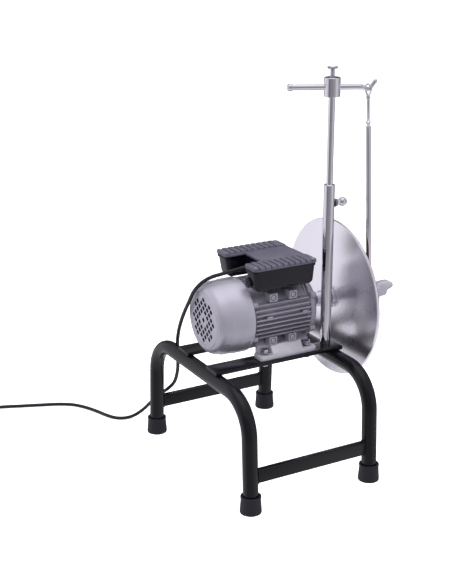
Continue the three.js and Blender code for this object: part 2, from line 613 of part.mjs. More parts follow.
function addPendulum() {
  const loop = sweep(smooth([[-1.6, 0, -SLEEVE_TOP - 2], [-4.4, 0, -7.4], [-7.6, 0, -1.2], [-7.4, 0, 3.9],
    [-4.5, 0, 7.2], [0, 0, 8.2], [4.5, 0, 7.2], [7.4, 0, 3.9], [7.6, 0, -1.2], [4.4, 0, -7.4],
    [1.6, 0, -SLEEVE_TOP - 2]]), EYE_WIRE_R, 6, 22).rotateZ(EYE_TURN - BAR_TURN);
  const sleeve = rodZ(4, -SLEEVE_END, -SLEEVE_TOP, 14);
  const swivelBore = rodZ(1.9, -SLEEVE_END - 5, -SLEEVE_END + 5, 12);
  put('wire_eye', cut(join(loop, sleeve), swivelBore), chrome, pendulum);

  const thin = turnZ([[0, -RING_DROP + RING.major], [THIN_R, -RING_DROP + RING.major],
    [THIN_R, -SLEEVE_END - GAP], [1.5, -SLEEVE_END - GAP], [1.5, -SLEEVE_END + 4], [0, -SLEEVE_END + 4]], 14);
  const ring = new THREE.TorusGeometry(RING.major, RING.wire, 6, 14)
    .rotateY(Math.PI / 2).translate(0, 0, -RING_DROP);
  put('hanger_rod', join(thin, ring), chrome, pendulum);

  const hang = -RING_DROP - RING.major; // middle of the ring's lowest wire
  const length = rodEnd.distanceTo(valley);
  const bail = new THREE.TorusGeometry(2.9, 0.9, 6, 12).rotateX(Math.PI / 2).translate(0, 0, hang);
  const bar = turnZ([[0, -length], [THICK_R - 0.6, -length], [THICK_R - 0.6, -length + 13],
    [THICK_R, -length + 14], [THICK_R, hang - 4.4], [THICK_R - 1, hang - 3.4], [0, hang - 3.4]], 16);
  put('pendulum_rod', join(bail, bar), chrome, pendulum);
}

function addHolder() {
  const eyeY = [PIVOT.eyeFront, PIVOT.eyeBack];
  const socketTop = PIVOT.z + PIVOT.eyeR + 12;
  const middleY = (eyeY[0] + eyeY[1]) / 2;
  const eye = join(
    rodY(PIVOT.eyeR, ...eyeY, 16).translate(PIVOT.x, 0, PIVOT.z),
    rodZ(6.6, PIVOT.z + 4, socketTop, 16).translate(PIVOT.x, middleY, 0));
  const pinBore = rodY(4.4, eyeY[0] - 5, eyeY[1] + 5, 14).translate(PIVOT.x, 0, PIVOT.z);
  const rodBore = rodZ(4.9, PIVOT.z + PIVOT.eyeR - 1.6, socketTop + 5, 16).translate(PIVOT.x, middleY, 0);
  put('rod_end', cut(eye, pinBore, rodBore), paleCasting);

  const plateShape = roundedBox(PIVOT.x - HOLDER.halfWidth, PIVOT.x + HOLDER.halfWidth,
    HOLDER.bottom, HOLDER.top, HOLDER.corner);
  const plate = prismY(plateShape, HOLDER.front, HOLDER.back, 4);
  const magnetZ = HOLDER.bottom + MAGNET.halfHeight + 3;
  const pocket = block(PIVOT.x - MAGNET.halfWidth - GAP, PIVOT.x + MAGNET.halfWidth + GAP,
    MAGNET.back - GAP, HOLDER.back + 5, magnetZ - MAGNET.halfHeight - GAP, magnetZ + MAGNET.halfHeight + GAP);
  const boltWell = rodY(8, HOLDER.back - 5, HOLDER.back + 5, 16).translate(PIVOT.x, 0, PIVOT.z);
  const boltHole = rodY(4.4, HOLDER.front - 5, HOLDER.back, 14).translate(PIVOT.x, 0, PIVOT.z);
  const pinHoles = [-22, 22].map((dx) =>
    rodY(2.1, HOLDER.back - 7, HOLDER.back + 5, 10).translate(PIVOT.x + dx, 0, HOLDER.top - 8));
  put('comb_holder', cut(plate, pocket, boltWell, boltHole, ...pinHoles), paleCasting);
  put('holder_magnet', block(PIVOT.x - MAGNET.halfWidth, PIVOT.x + MAGNET.halfWidth, MAGNET.back,
    MAGNET.face, magnetZ - MAGNET.halfHeight, magnetZ + MAGNET.halfHeight), darkSteel);
  const nutBack = PIVOT.eyeFront - GAP;
  const boltBack = HOLDER.back - 0.6;
  const bolt = turnY([[0, nutBack - 7], [4, nutBack - 7], [4, HOLDER.back - 5 + GAP], [7.6, HOLDER.back - 5 + GAP],
    [7.6, boltBack], [0, boltBack]], 14);
  put('pivot_bolt', bolt, steel).position.set(PIVOT.x, 0, PIVOT.z);
  const nut = cut(prismY(hexagon(13), nutBack - 6, nutBack), rodY(4.3, nutBack - 12, nutBack + 5, 12));
  put('pivot_nut', nut, steel).position.set(PIVOT.x, 0, PIVOT.z);

  const grip = new THREE.Shape();
  const root = HOLDER.front - GAP;
  grip.moveTo(root, 323);
  grip.lineTo(root, 339);
  grip.quadraticCurveTo(-70, 347, -83, 345.8);
  grip.quadraticCurveTo(HANDLE.tip + 1, 343.5, HANDLE.tip, 338);
  grip.quadraticCurveTo(-91.5, 332.5, -81.5, 330);
  grip.quadraticCurveTo(-80.5, 322.5, -76, 320.4);
  grip.quadraticCurveTo(-65, 319.5, root, 323);
  put('holder_handle', prismX(grip, HANDLE.x - HANDLE.thick / 2, HANDLE.x + HANDLE.thick / 2, 5), paleCasting);
}

// ---------------------------------------------------------------- mains lead
// Out of the gland, over the fan cover, down behind the rear arch, over the lower rail, along the floor.
const CORD_ROUTE = [
  [0, 168.6, 378], [0, 176, 377.6], [1, 190, 376], [3, 205, 373.5], [5, 222, 370.5], [8, 237, 363.5],
  [15, 245.5, 352.5], [26, 248, 340], [42, 248.5, 318], [66, 248, 286], [90, 244.5, 253], [109, 239, 226],
  [122, 233.5, 206], [133, 228, 176], [143, 224, 141], [158, 223.5, 112], [182, 226, 89], [207, 229, 70],
  [232, 238, 45], [251, 252, 20], [262, 268, 6.5], [266, 284, 3.8], [275, 300, 3.8], [295, 311.5, 3.8],
  [322, 321, 3.8], [350, 333, 3.8], [376, 350, 3.8], [394, 374, 3.8], [409, 408, 3.8], [425, 448, 3.8],
  [441, 488, 3.8], [451.5, 525, 3.8], [COIL.x - COIL.mean - COIL.half - CORD_R - GAP, COIL.y, 3.8],
];

function addCord() {
  put('power_cord', sweep(smooth(CORD_ROUTE), CORD_R, 8, 54), cordBlack);
  const inner = COIL.mean - COIL.half;
  const outer = COIL.mean + COIL.half;
  const high = COIL.half * 2 + GAP;
  const ring = turnZ([[inner, GAP], [outer, GAP], [outer, high], [inner, high]], 24, true);
  put('cord_coil', ring, cordBlack).position.set(COIL.x, COIL.y, 0);

  const plugX = COIL.x - COIL.mean;
  const plugZ = high + GAP + 9;
  const body = turnY([[0, -24], [5, -24], [6, -6], [9, 0], [13, 8], [13, 24], [11, 26], [0, 26]], 12)
    .scale(1, 1, 0.68);
  const pins = [-7, 7].map((dx) => rodY(2.2, 20, 44, 8).translate(dx, 0, 0));
  put('power_plug', join(body, ...pins), cordBlack).position.set(plugX, COIL.y + 4, plugZ);
}

// ---------------------------------------------------------------- the whole machine
addStand();
addMotorHousing();
addStator();
addEndShields();
addFanCover();
addMotorFeet();
addTerminalBox();
addRotor();
addPost();
machine.add(head);
addHead();
machine.add(pendulum);
addPendulum();
addHolder();
addCord();

// The origin goes under the middle of the box, from the handle's tip to the rear feet.
machine.position.y = -(HANDLE.tip + ARCH_PITCH + CAP_R) / 2;

export default machine;
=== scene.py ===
"""Looks for the shearing comb and cutter grinder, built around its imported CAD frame.

Metres, +Z up. The operator stands at -Y and the picture is taken from behind, at -X and +Y.
Places come from the boxes of the CAD nodes, apart from the camera, the lights and the lead's route.
Details too small for the CAD model have their sizes here.
"""

import json
import math

import bmesh
import bpy
from mathutils import Matrix, Quaternion, Vector


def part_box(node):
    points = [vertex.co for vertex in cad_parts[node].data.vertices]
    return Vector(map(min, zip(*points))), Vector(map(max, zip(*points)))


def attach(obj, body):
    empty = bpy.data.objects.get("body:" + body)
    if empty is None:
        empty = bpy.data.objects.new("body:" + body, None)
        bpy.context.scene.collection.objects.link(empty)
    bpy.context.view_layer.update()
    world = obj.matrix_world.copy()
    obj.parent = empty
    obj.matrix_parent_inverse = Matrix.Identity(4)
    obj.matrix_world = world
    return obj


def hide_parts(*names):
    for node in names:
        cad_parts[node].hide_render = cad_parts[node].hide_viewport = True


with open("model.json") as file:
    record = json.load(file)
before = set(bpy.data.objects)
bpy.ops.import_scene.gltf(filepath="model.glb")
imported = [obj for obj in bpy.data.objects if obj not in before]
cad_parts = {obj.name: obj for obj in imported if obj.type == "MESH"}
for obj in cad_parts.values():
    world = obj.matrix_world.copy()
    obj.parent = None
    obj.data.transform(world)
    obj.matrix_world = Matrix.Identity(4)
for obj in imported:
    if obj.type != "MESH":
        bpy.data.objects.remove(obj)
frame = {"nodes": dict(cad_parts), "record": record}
for node in frame["nodes"].values():
    node.data.update()
bpy.context.view_layer.update()

MM = 0.001


def mm(pairs):
    """Pairs written in millimetres, in metres."""
    return [(a * MM, b * MM) for a, b in pairs]


def middle(node):
    low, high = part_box(node)
    return (low + high) / 2


# ---------------------------------------------------------------- places read from the frame
SHAFT = middle("grinding_disc")  # the shaft runs along Y through this point
FRONT_Y = middle("front_arch").y
POST = middle("post_tube")
PIVOT = middle("pivot_bolt")
BAR_Z = middle("crossbar_cap").z
BAR_TURN = math.radians(25.4)  # from -Y towards -X
BAR_DIRECTION = Vector((-math.sin(BAR_TURN), -math.cos(BAR_TURN), 0))
HOOK_REACH = 63.5 * MM  # post to the hook's valley
VALLEY = Vector((POST.x, POST.y, BAR_Z - 4 * MM)) + BAR_DIRECTION * HOOK_REACH

# ---------------------------------------------------------------- camera
CAMERA_AT = Vector((-1740.82, 1074.16, 1013.76)) * MM
CAMERA_AZIMUTH = math.radians(240.97)
CAMERA_PITCH = math.radians(18.71)
CAMERA_ROLL = math.radians(-0.07)
LENS = 71.96


def add_camera():
    data = bpy.data.cameras.new("camera")
    data.sensor_width = 36
    data.lens = LENS
    data.clip_start = 0.05
    data.clip_end = 100
    camera = bpy.data.objects.new("camera", data)
    bpy.context.scene.collection.objects.link(camera)
    forward = Vector((
        -math.sin(CAMERA_AZIMUTH) * math.cos(CAMERA_PITCH),
        math.cos(CAMERA_AZIMUTH) * math.cos(CAMERA_PITCH),
        -math.sin(CAMERA_PITCH),
    ))
    turn = forward.to_track_quat("-Z", "Y") @ Quaternion((0, 0, 1), CAMERA_ROLL)
    camera.location = CAMERA_AT
    camera.rotation_mode = "QUATERNION"
    camera.rotation_quaternion = turn
    bpy.context.scene.camera = camera


add_camera()


# ---------------------------------------------------------------- mesh helpers
def obj_from(name, bm, sharp=35):
    """Turns a bmesh into an object with smooth faces and sharp edges above that angle."""
    bmesh.ops.remove_doubles(bm, verts=bm.verts, dist=1e-6)
    bmesh.ops.recalc_face_normals(bm, faces=bm.faces)
    mesh = bpy.data.meshes.new(name)
    bm.to_mesh(mesh)
    bm.free()
    mesh.shade_smooth()
    mesh.set_sharp_from_angle(angle=math.radians(sharp))
    obj = bpy.data.objects.new(name, mesh)
    bpy.context.scene.collection.objects.link(obj)
    return obj


def basis(direction):
    """A rotation that takes +Z to that direction."""
    return Vector(direction).to_track_quat("Z", "Y").to_matrix().to_4x4()


def soften(points, radius, closed=False, steps=4):
    """Rounds each corner of an outline by about that radius, less where its sides are short."""
    points = [Vector(p) for p in points]
    count = len(points)
    out = []
    for i, corner in enumerate(points):
        if not closed and i in (0, count - 1):
            out.append(corner)
            continue
        back = points[i - 1] - corner
        ahead = points[(i + 1) % count] - corner
        if back.length < 1e-9 or ahead.length < 1e-9:
            continue
        angle = back.angle(ahead)
        if angle > math.radians(170):
            out.append(corner)
            continue
        reach = min(radius / math.tan(angle / 2), back.length * 0.45, ahead.length * 0.45)
        start = corner + back.normalized() * reach
        end = corner + ahead.normalized() * reach
        for k in range(steps + 1):
            t = k / steps
            out.append(start * (1 - t) ** 2 + corner * 2 * t * (1 - t) + end * t ** 2)
    return out


def turned_into(bm, profile, at, direction=(0, 1, 0), segments=64, closed=False):
    """Adds a turned form: [radius, height] pairs about a line through `at`."""
    place = Matrix.Translation(Vector(at)) @ basis(direction)
    rings = []
    for radius, height in profile:
        if radius < 1e-7:
            rings.append([bm.verts.new(place @ Vector((0, 0, height)))])
            continue
        ring = []
        for k in range(segments):
            a = 2 * math.pi * k / segments
            ring.append(bm.verts.new(place @ Vector((radius * math.cos(a), radius * math.sin(a),
                                                     height))))
        rings.append(ring)
    pairs = list(zip(rings, rings[1:]))
    if closed:
        pairs.append((rings[-1], rings[0]))
    for low, high in pairs:
        if len(low) == 1 and len(high) == 1:
            continue
        for k in range(segments):
            n = (k + 1) % segments
            if len(low) == 1:
                bm.faces.new((low[0], high[k], high[n]))
            elif len(high) == 1:
                bm.faces.new((low[k], low[n], high[0]))
            else:
                bm.faces.new((low[k], low[n], high[n], high[k]))


def turned(name, profile, at, direction=(0, 1, 0), segments=64, closed=False, edge=0.0, sharp=35):
    points = [Vector((r, h, 0)) for r, h in profile]
    if edge:
        points = soften(points, edge, closed)
    bm = bmesh.new()
    turned_into(bm, [(p.x, p.y) for p in points], at, direction, segments, closed)
    return obj_from(name, bm, sharp)


def tube_into(bm, points, radius, sides=24, closed=False, round_ends=False, flat=1.0):
    """Sweeps a circle along points without twist; radius is a number or one per point."""
    points = [Vector(p) for p in points]
    radii = list(radius) if hasattr(radius, "__len__") else [radius] * len(points)
    count = len(points)
    tangents = []
    for i in range(count):
        if closed:
            along = points[(i + 1) % count] - points[i - 1]
        else:
            along = points[min(i + 1, count - 1)] - points[max(i - 1, 0)]
        tangents.append(along.normalized())
    across = tangents[0].orthogonal().normalized()
    frames = []
    for i in range(count):
        across = (across - tangents[i] * across.dot(tangents[i])).normalized()
        frames.append((across.copy(), tangents[i].cross(across)))
    stations = [(points[i], frames[i], radii[i]) for i in range(count)]
    if round_ends and not closed:
        caps = [(math.sin(a), math.cos(a)) for a in (math.radians(80), math.radians(55),
                                                     math.radians(28))]
        first = [(points[0] - tangents[0] * radii[0] * s, frames[0], radii[0] * c) for s, c in caps]
        last = [(points[-1] + tangents[-1] * radii[-1] * s, frames[-1], radii[-1] * c) for s, c in caps]
        stations = first + stations + last[::-1]
    rings = []
    for point, (u, v), r in stations:
        ring = []
        for k in range(sides):
            a = 2 * math.pi * k / sides
            ring.append(bm.verts.new(point + (u * math.cos(a) + v * math.sin(a) * flat) * r))
        rings.append(ring)
    pairs = list(zip(rings, rings[1:]))
    if closed:
        # the last ring may be turned against the first, so each corner joins its nearest one
        start = min(range(sides), key=lambda k: (rings[-1][0].co - rings[0][k].co).length)
        pairs.append((rings[-1], rings[0][start:] + rings[0][:start]))
    for low, high in pairs:
        for k in range(sides):
            n = (k + 1) % sides
            bm.faces.new((low[k], low[n], high[n], high[k]))
    if not closed:
        bm.faces.new(rings[0])
        bm.faces.new(rings[-1])


def tube(name, points, radius, sides=24, closed=False, round_ends=False, sharp=50):
    bm = bmesh.new()
    tube_into(bm, points, radius, sides, closed, round_ends)
    return obj_from(name, bm, sharp)


def curve_points(controls, per=8):
    """A centripetal spline through given points."""
    controls = [Vector(c) for c in controls]
    ends = [controls[0] * 2 - controls[1], *controls, controls[-1] * 2 - controls[-2]]
    out = []
    for i in range(1, len(ends) - 2):
        p = ends[i - 1:i + 3]
        t = [0.0]
        for a, b in zip(p, p[1:]):
            t.append(t[-1] + math.sqrt(max((b - a).length, 1e-9)))
        for k in range(per):
            s = t[1] + (t[2] - t[1]) * k / per
            a1 = p[0] * ((t[1] - s) / (t[1] - t[0])) + p[1] * ((s - t[0]) / (t[1] - t[0]))
            a2 = p[1] * ((t[2] - s) / (t[2] - t[1])) + p[2] * ((s - t[1]) / (t[2] - t[1]))
            a3 = p[2] * ((t[3] - s) / (t[3] - t[2])) + p[3] * ((s - t[2]) / (t[3] - t[2]))
            b1 = a1 * ((t[2] - s) / (t[2] - t[0])) + a2 * ((s - t[0]) / (t[2] - t[0]))
            b2 = a2 * ((t[3] - s) / (t[3] - t[1])) + a3 * ((s - t[1]) / (t[3] - t[1]))
            out.append(b1 * ((t[2] - s) / (t[2] - t[1])) + b2 * ((s - t[1]) / (t[2] - t[1])))
    out.append(controls[-1])
    return out


PLANES = {
    "X": Matrix(((0, 0, 1, 0), (1, 0, 0, 0), (0, 1, 0, 0), (0, 0, 0, 1))),
    "Y": Matrix(((1, 0, 0, 0), (0, 0, 1, 0), (0, 1, 0, 0), (0, 0, 0, 1))),
    "Z": Matrix.Identity(4),
}


def plate(name, outline, low, high, along="Z", holes=(), edge=0.4 * MM, sharp=35):
    """An outline pushed from low to high along X (outline in Y,Z), Y (in X,Z) or Z (in X,Y)."""
    curve = bpy.data.curves.new(name, "CURVE")
    curve.dimensions = "2D"
    curve.fill_mode = "BOTH"
    for loop in (outline, *holes):
        spline = curve.splines.new("POLY")
        spline.points.add(len(loop) - 1)
        for point, place in zip(spline.points, loop):
            point.co = (place[0], place[1], 0, 1)
        spline.use_cyclic_u = True
    curve.extrude = (high - low) / 2 - edge
    curve.bevel_depth = edge
    curve.bevel_resolution = 1
    curve.offset = -edge
    holder = bpy.data.objects.new(name, curve)
    bpy.context.scene.collection.objects.link(holder)
    graph = bpy.context.evaluated_depsgraph_get()
    mesh = bpy.data.meshes.new_from_object(holder.evaluated_get(graph))
    bpy.data.objects.remove(holder)
    bm = bmesh.new()
    bm.from_mesh(mesh)
    bpy.data.meshes.remove(mesh)
    bm.transform(PLANES[along] @ Matrix.Translation((0, 0, (low + high) / 2)))
    bmesh.ops.remove_doubles(bm, verts=bm.verts, dist=2e-6)
    return obj_from(name, bm, sharp)


def block_into(bm, low, high, edge=0.0, steps=2):
    low, high = Vector(low), Vector(high)
    made = bmesh.ops.create_cube(bm, size=1)["verts"]
    for v in made:
        v.co = Vector(low[i] + (v.co[i] + 0.5) * (high[i] - low[i]) for i in range(3))
    if edge:
        edges = list({e for v in made for e in v.link_edges})
        bmesh.ops.bevel(bm, geom=edges, offset=edge, segments=steps, profile=0.5, affect="EDGES")


def block(name, low, high, edge=0.5 * MM, steps=2, sharp=50):
    bm = bmesh.new()
    block_into(bm, low, high, edge, steps)
    return obj_from(name, bm, sharp)


def circle(x, y, radius, count=24):
    return [(x + radius * math.cos(2 * math.pi * k / count),
             y + radius * math.sin(2 * math.pi * k / count)) for k in range(count)]


def rounded(points, radius, steps=5):
    return [(p.x, p.y) for p in soften([Vector((x, y, 0)) for x, y in points], radius, True, steps)]


def rectangle(x0, x1, y0, y1, radius, steps=5):
    return rounded([(x0, y0), (x1, y0), (x1, y1), (x0, y1)], radius, steps)


def hex_into(bm, at, direction, flats, low, high, bore=0.0):
    """A hexagon head or nut with its outer corners turned off."""
    place = Matrix.Translation(Vector(at)) @ basis(direction)
    corner = flats / math.sqrt(3)
    slope = (high - low) * 0.12
    levels = [(low, 0.94), (low + slope, 1), (high - slope, 1), (high, 0.94)]
    rings = []
    for height, share in levels:
        ring = []
        for k in range(24):
            a = 2 * math.pi * k / 24
            face = (a + math.pi / 6) % (math.pi / 3) - math.pi / 6
            r = min(flats / 2 / math.cos(face), corner * share)
            ring.append(bm.verts.new(place @ Vector((r * math.cos(a), r * math.sin(a), height))))
        rings.append(ring)
    inner = [(bore, low), (bore, high)] if bore else []
    holes = []
    for r, height in inner:
        holes.append([bm.verts.new(place @ Vector((r * math.cos(2 * math.pi * k / 24),
                                                   r * math.sin(2 * math.pi * k / 24), height)))
                      for k in range(24)])
    for a, b in zip(rings, rings[1:]):
        for k in range(24):
            n = (k + 1) % 24
            bm.faces.new((a[k], a[n], b[n], b[k]))
    if holes:
        for a, b in ((rings[0], holes[0]), (holes[0], holes[1]), (holes[1], rings[-1])):
            for k in range(24):
                n = (k + 1) % 24
                bm.faces.new((a[k], a[n], b[n], b[k]))
    else:
        bm.faces.new(rings[0])
        bm.faces.new(rings[-1])


def joined(name, parts, sharp=35):
    """One object from several; each stays a closed body of its own in the mesh."""
    bm = bmesh.new()
    for part in parts:
        bm.from_mesh(part.data)
        mesh = part.data
        bpy.data.objects.remove(part)
        bpy.data.meshes.remove(mesh)
    mesh = bpy.data.meshes.new(name)
    bm.to_mesh(mesh)
    bm.free()
    mesh.shade_smooth()
    mesh.set_sharp_from_angle(angle=math.radians(sharp))
    obj = bpy.data.objects.new(name, mesh)
    bpy.context.scene.collection.objects.link(obj)
    return obj


def carved(target, *tools):
    """Cuts the tools out of the target."""
    for tool in tools:
        cutter = target.modifiers.new("cut", "BOOLEAN")
        cutter.operation = "DIFFERENCE"
        cutter.solver = "EXACT"
        cutter.object = tool
    graph = bpy.context.evaluated_depsgraph_get()
    mesh = bpy.data.meshes.new_from_object(target.evaluated_get(graph))
    target.modifiers.clear()
    target.data = mesh
    mesh.shade_smooth()
    mesh.set_sharp_from_angle(angle=math.radians(35))
    for tool in tools:
        bpy.data.objects.remove(tool)
    return target


# ---------------------------------------------------------------- materials
def link_noise(nodes, links, coordinates, scale, detail=3.0):
    noise = nodes.new("ShaderNodeTexNoise")
    noise.inputs["Scale"].default_value = scale
    noise.inputs["Detail"].default_value = detail
    links.new(coordinates, noise.inputs["Vector"])
    return noise.outputs["Fac"]


def spread(nodes, links, value, low, high):
    scale = nodes.new("ShaderNodeMapRange")
    scale.inputs["From Min"].default_value = 0.25
    scale.inputs["From Max"].default_value = 0.75
    scale.inputs["To Min"].default_value = low
    scale.inputs["To Max"].default_value = high
    links.new(value, scale.inputs["Value"])
    return scale.outputs["Result"]


def material(name, colour, roughness, metallic=0.0, shade=0.06, blotch=60, grain=900, bump=0.02,
             uneven=0.05, coat=0.0, coat_roughness=0.1, specular=0.5, depth=0.0002):
    """Colour with slow blotches, roughness that varies with them and a fine-grained bump."""
    made = bpy.data.materials.new(name)
    made.use_nodes = True
    nodes, links = made.node_tree.nodes, made.node_tree.links
    shader = nodes["Principled BSDF"]
    where = nodes.new("ShaderNodeTexCoord").outputs["Object"]
    slow = link_noise(nodes, links, where, blotch)
    fine = link_noise(nodes, links, where, grain, 2.0)
    mix = nodes.new("ShaderNodeMix")
    mix.data_type = "RGBA"
    mix.inputs[6].default_value = (*[c * (1 - shade) for c in colour], 1)
    mix.inputs[7].default_value = (*[min(1, c * (1 + shade)) for c in colour], 1)
    links.new(spread(nodes, links, slow, 0, 1), mix.inputs[0])
    links.new(mix.outputs[2], shader.inputs["Base Color"])
    links.new(spread(nodes, links, slow, max(0.02, roughness - uneven), roughness + uneven),
              shader.inputs["Roughness"])
    raised = nodes.new("ShaderNodeBump")
    raised.inputs["Strength"].default_value = bump
    raised.inputs["Distance"].default_value = depth
    links.new(fine, raised.inputs["Height"])
    links.new(raised.outputs["Normal"], shader.inputs["Normal"])
    shader.inputs["Metallic"].default_value = metallic
    shader.inputs["Coat Weight"].default_value = coat
    shader.inputs["Coat Roughness"].default_value = coat_roughness
    shader.inputs["Specular IOR Level"].default_value = specular
    return made


def turned_metal(name, colour, roughness, anisotropy, pitch=0.0011):
    """Bright metal with the fine rings that a lathe tool leaves round the shaft."""
    made = material(name, colour, roughness, 1.0, shade=0.02, blotch=14, uneven=0.02, bump=0.0)
    nodes, links = made.node_tree.nodes, made.node_tree.links
    shader = nodes["Principled BSDF"]
    split = nodes.new("ShaderNodeSeparateXYZ")
    links.new(nodes["Texture Coordinate"].outputs["Object"], split.inputs[0])
    height = nodes.new("ShaderNodeMath")
    height.operation = "SUBTRACT"
    height.inputs[1].default_value = SHAFT.z
    links.new(split.outputs["Z"], height.inputs[0])
    flat = nodes.new("ShaderNodeCombineXYZ")
    links.new(split.outputs["X"], flat.inputs["X"])
    links.new(height.outputs[0], flat.inputs["Y"])
    reach = nodes.new("ShaderNodeVectorMath")
    reach.operation = "LENGTH"
    links.new(flat.outputs[0], reach.inputs[0])
    along = nodes.new("ShaderNodeCombineXYZ")
    links.new(reach.outputs["Value"], along.inputs["X"])
    rings = link_noise(nodes, links, along.outputs[0], 1 / pitch, 4.0)
    raised = nodes["Bump"]
    raised.inputs["Strength"].default_value = 0.05
    raised.inputs["Distance"].default_value = 0.00002
    links.new(rings, raised.inputs["Height"])
    shader.inputs["Anisotropic"].default_value = anisotropy
    shader.inputs["Anisotropic Rotation"].default_value = 0.25
    tangent = nodes.new("ShaderNodeTangent")
    tangent.direction_type = "RADIAL"
    tangent.axis = "Y"
    links.new(tangent.outputs[0], shader.inputs["Tangent"])
    return made


MATERIALS = {"black_paint": material("black_paint", (0.0035, 0.0034, 0.005), 0.2, shade=0.2, blotch=25,
                                     grain=420, bump=0.1, uneven=0.03, coat=0.08, coat_roughness=0.12,
                                     specular=0.32),
             "rubber": material("rubber", (0.012, 0.012, 0.018), 0.6, shade=0.25, blotch=90, grain=2600,
                                bump=0.35, uneven=0.08, specular=0.4),
             "cast_grey": material("cast_grey", (0.36, 0.345, 0.41), 0.42, 0.5, shade=0.12, blotch=70,
                                   grain=1500, bump=0.22, uneven=0.06),
             "cover_grey": material("cover_grey", (0.47, 0.455, 0.53), 0.34, 0.55, shade=0.04,
                                    blotch=30, grain=2200, bump=0.08, uneven=0.04),
             "chrome": material("chrome", (0.79, 0.775, 0.82), 0.07, 1.0, shade=0.03, blotch=40,
                                grain=700, bump=0.01, uneven=0.03),
             "turned_aluminium": turned_metal("turned_aluminium", (0.95, 0.93, 1.0), 0.28, 0.45),
             "zinc_steel": material("zinc_steel", (0.62, 0.61, 0.67), 0.26, 1.0, shade=0.08, blotch=220,
                                    grain=2400, bump=0.05, uneven=0.08),
             "dark_steel": material("dark_steel", (0.20, 0.20, 0.22), 0.42, 0.9, shade=0.15, blotch=160,
                                    grain=2000, bump=0.1, uneven=0.08),
             "copper_wire": material("copper_wire", (0.50, 0.20, 0.08), 0.38, 0.85, shade=0.2,
                                     blotch=500, grain=1400, bump=0.5, uneven=0.08, depth=0.0008),
             "black_plastic": material("black_plastic", (0.003, 0.003, 0.006), 0.2, shade=0.2,
                                       blotch=45, grain=1600, bump=0.08, uneven=0.04, specular=0.36),
             # The lid's grey is much lighter than the box's black plastic. That lift is painted light,
             # standing in for the light that falls on the lid's top.
             "lid_plastic": material("lid_plastic", (0.105, 0.10, 0.135), 0.46, shade=0.12, blotch=55,
                                     grain=1500, bump=0.3, uneven=0.06, specular=0.4),
             "pale_casting": material("pale_casting", (0.55, 0.535, 0.60), 0.42, 0.35, shade=0.08,
                                      blotch=80, grain=1300, bump=0.3, uneven=0.08),
             "grit": material("grit", (0.10, 0.045, 0.03), 0.9, shade=0.45, blotch=2600, grain=3800,
                              bump=0.9, uneven=0.08, depth=0.0006),
             "cord_black": material("cord_black", (0.008, 0.008, 0.012), 0.42, shade=0.15, blotch=30,
                                    grain=1200, bump=0.08, uneven=0.06)}


def done(obj, body, slot, *nodes):
    """Finishes a piece: its material, the body it rides on and the CAD nodes that it stands for."""
    obj.data.materials.clear()
    obj.data.materials.append(MATERIALS[slot])
    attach(obj, body)
    if nodes:
        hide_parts(*nodes)
    return obj


def finish_cad_nodes():
    """Every CAD node gets its slot's material and smooth round faces, even one that is replaced."""
    for row in frame["record"]["subparts"]:
        node = frame["nodes"][row["node"]]
        node.data.materials.clear()
        node.data.materials.append(MATERIALS[row["material_slot"]])
        node.data.shade_smooth()
        node.data.set_sharp_from_angle(angle=math.radians(32))


finish_cad_nodes()

# ---------------------------------------------------------------- mains lead
CORD_R = 3.5 * MM
CORD_ROUTE = [  # millimetres, Y from the middle of the front arch
    (0, 168.6, 378), (0, 176, 377.6), (1, 190, 376), (3, 205, 373.5), (5, 222, 370.5), (8, 237, 363.5),
    (15, 245.5, 352.5), (26, 248, 340), (42, 248.5, 318), (66, 248, 286), (90, 244.5, 253),
    (109, 239, 226), (122, 233.5, 206), (133, 228, 176), (143, 224, 141), (158, 223.5, 112),
    (182, 226, 89), (207, 229, 70), (232, 238, 45), (251, 252, 20), (262, 268, 6.5), (266, 284, 3.8),
    (275, 300, 3.8), (295, 311.5, 3.8), (322, 321, 3.8), (350, 333, 3.8), (376, 350, 3.8),
    (394, 374, 3.8), (409, 408, 3.8), (425, 448, 3.8), (441, 488, 3.8),
]
COIL_RADIUS = 39 * MM
TURN_STEPS = 36
PLUG_BODY = 68 * MM  # from the lead's end in the plug to the tips of the pins


def cord_line():
    """The lead's middle line: the loose stretch, nearly four turns in two layers, the plug."""
    shift = Vector((0, FRONT_Y, 0))
    hub = middle("cord_coil")
    plug = middle("power_plug")
    _, plug_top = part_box("power_plug")
    low = CORD_R + 0.3 * MM
    high = low + CORD_R * 2
    turns = [(COIL_RADIUS + CORD_R, low), (COIL_RADIUS - CORD_R, low), (COIL_RADIUS - CORD_R, high),
             (COIL_RADIUS + CORD_R, high)]
    coil = []
    for index, (radius, z) in enumerate(turns):
        after = turns[min(index + 1, len(turns) - 1)]
        steps = TURN_STEPS if index < len(turns) - 1 else TURN_STEPS * 3 // 4
        for k in range(steps):
            share = k / TURN_STEPS
            ease = max(0.0, (share - 0.6) / 0.4)
            ease = ease * ease * (3 - 2 * ease)
            r = radius + (after[0] - radius) * ease
            a = math.pi + 2 * math.pi * share
            coil.append(Vector((hub.x + r * math.cos(a), hub.y - r * math.sin(a),
                                z + (after[1] - z) * ease)))
    loose = [Vector(p) * MM + shift for p in CORD_ROUTE]
    tail = Vector((plug.x, plug_top.y - PLUG_BODY, (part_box("power_plug")[0].z + plug_top.z) / 2))
    rise = [tail + Vector((14, -17, -5)) * MM, tail + Vector((3, -6, -0.6)) * MM, tail]
    return curve_points(loose + coil[::3] + rise, 6)


def add_cord():
    line = cord_line()
    length = sum((b - a).length for a, b in zip(line, line[1:]))
    cord = tube("mains_lead", line, CORD_R, 16)
    done(cord, "stand", "cord_black", "power_cord", "cord_coil")
    return cord, line, length


cord, cord_points, cord_length = add_cord()


# ---------------------------------------------------------------- stand
TUBE_R = 13.7 * MM
ARCH_BEND_R = 68 * MM
ARCH_SPLAY = math.radians(2.7)


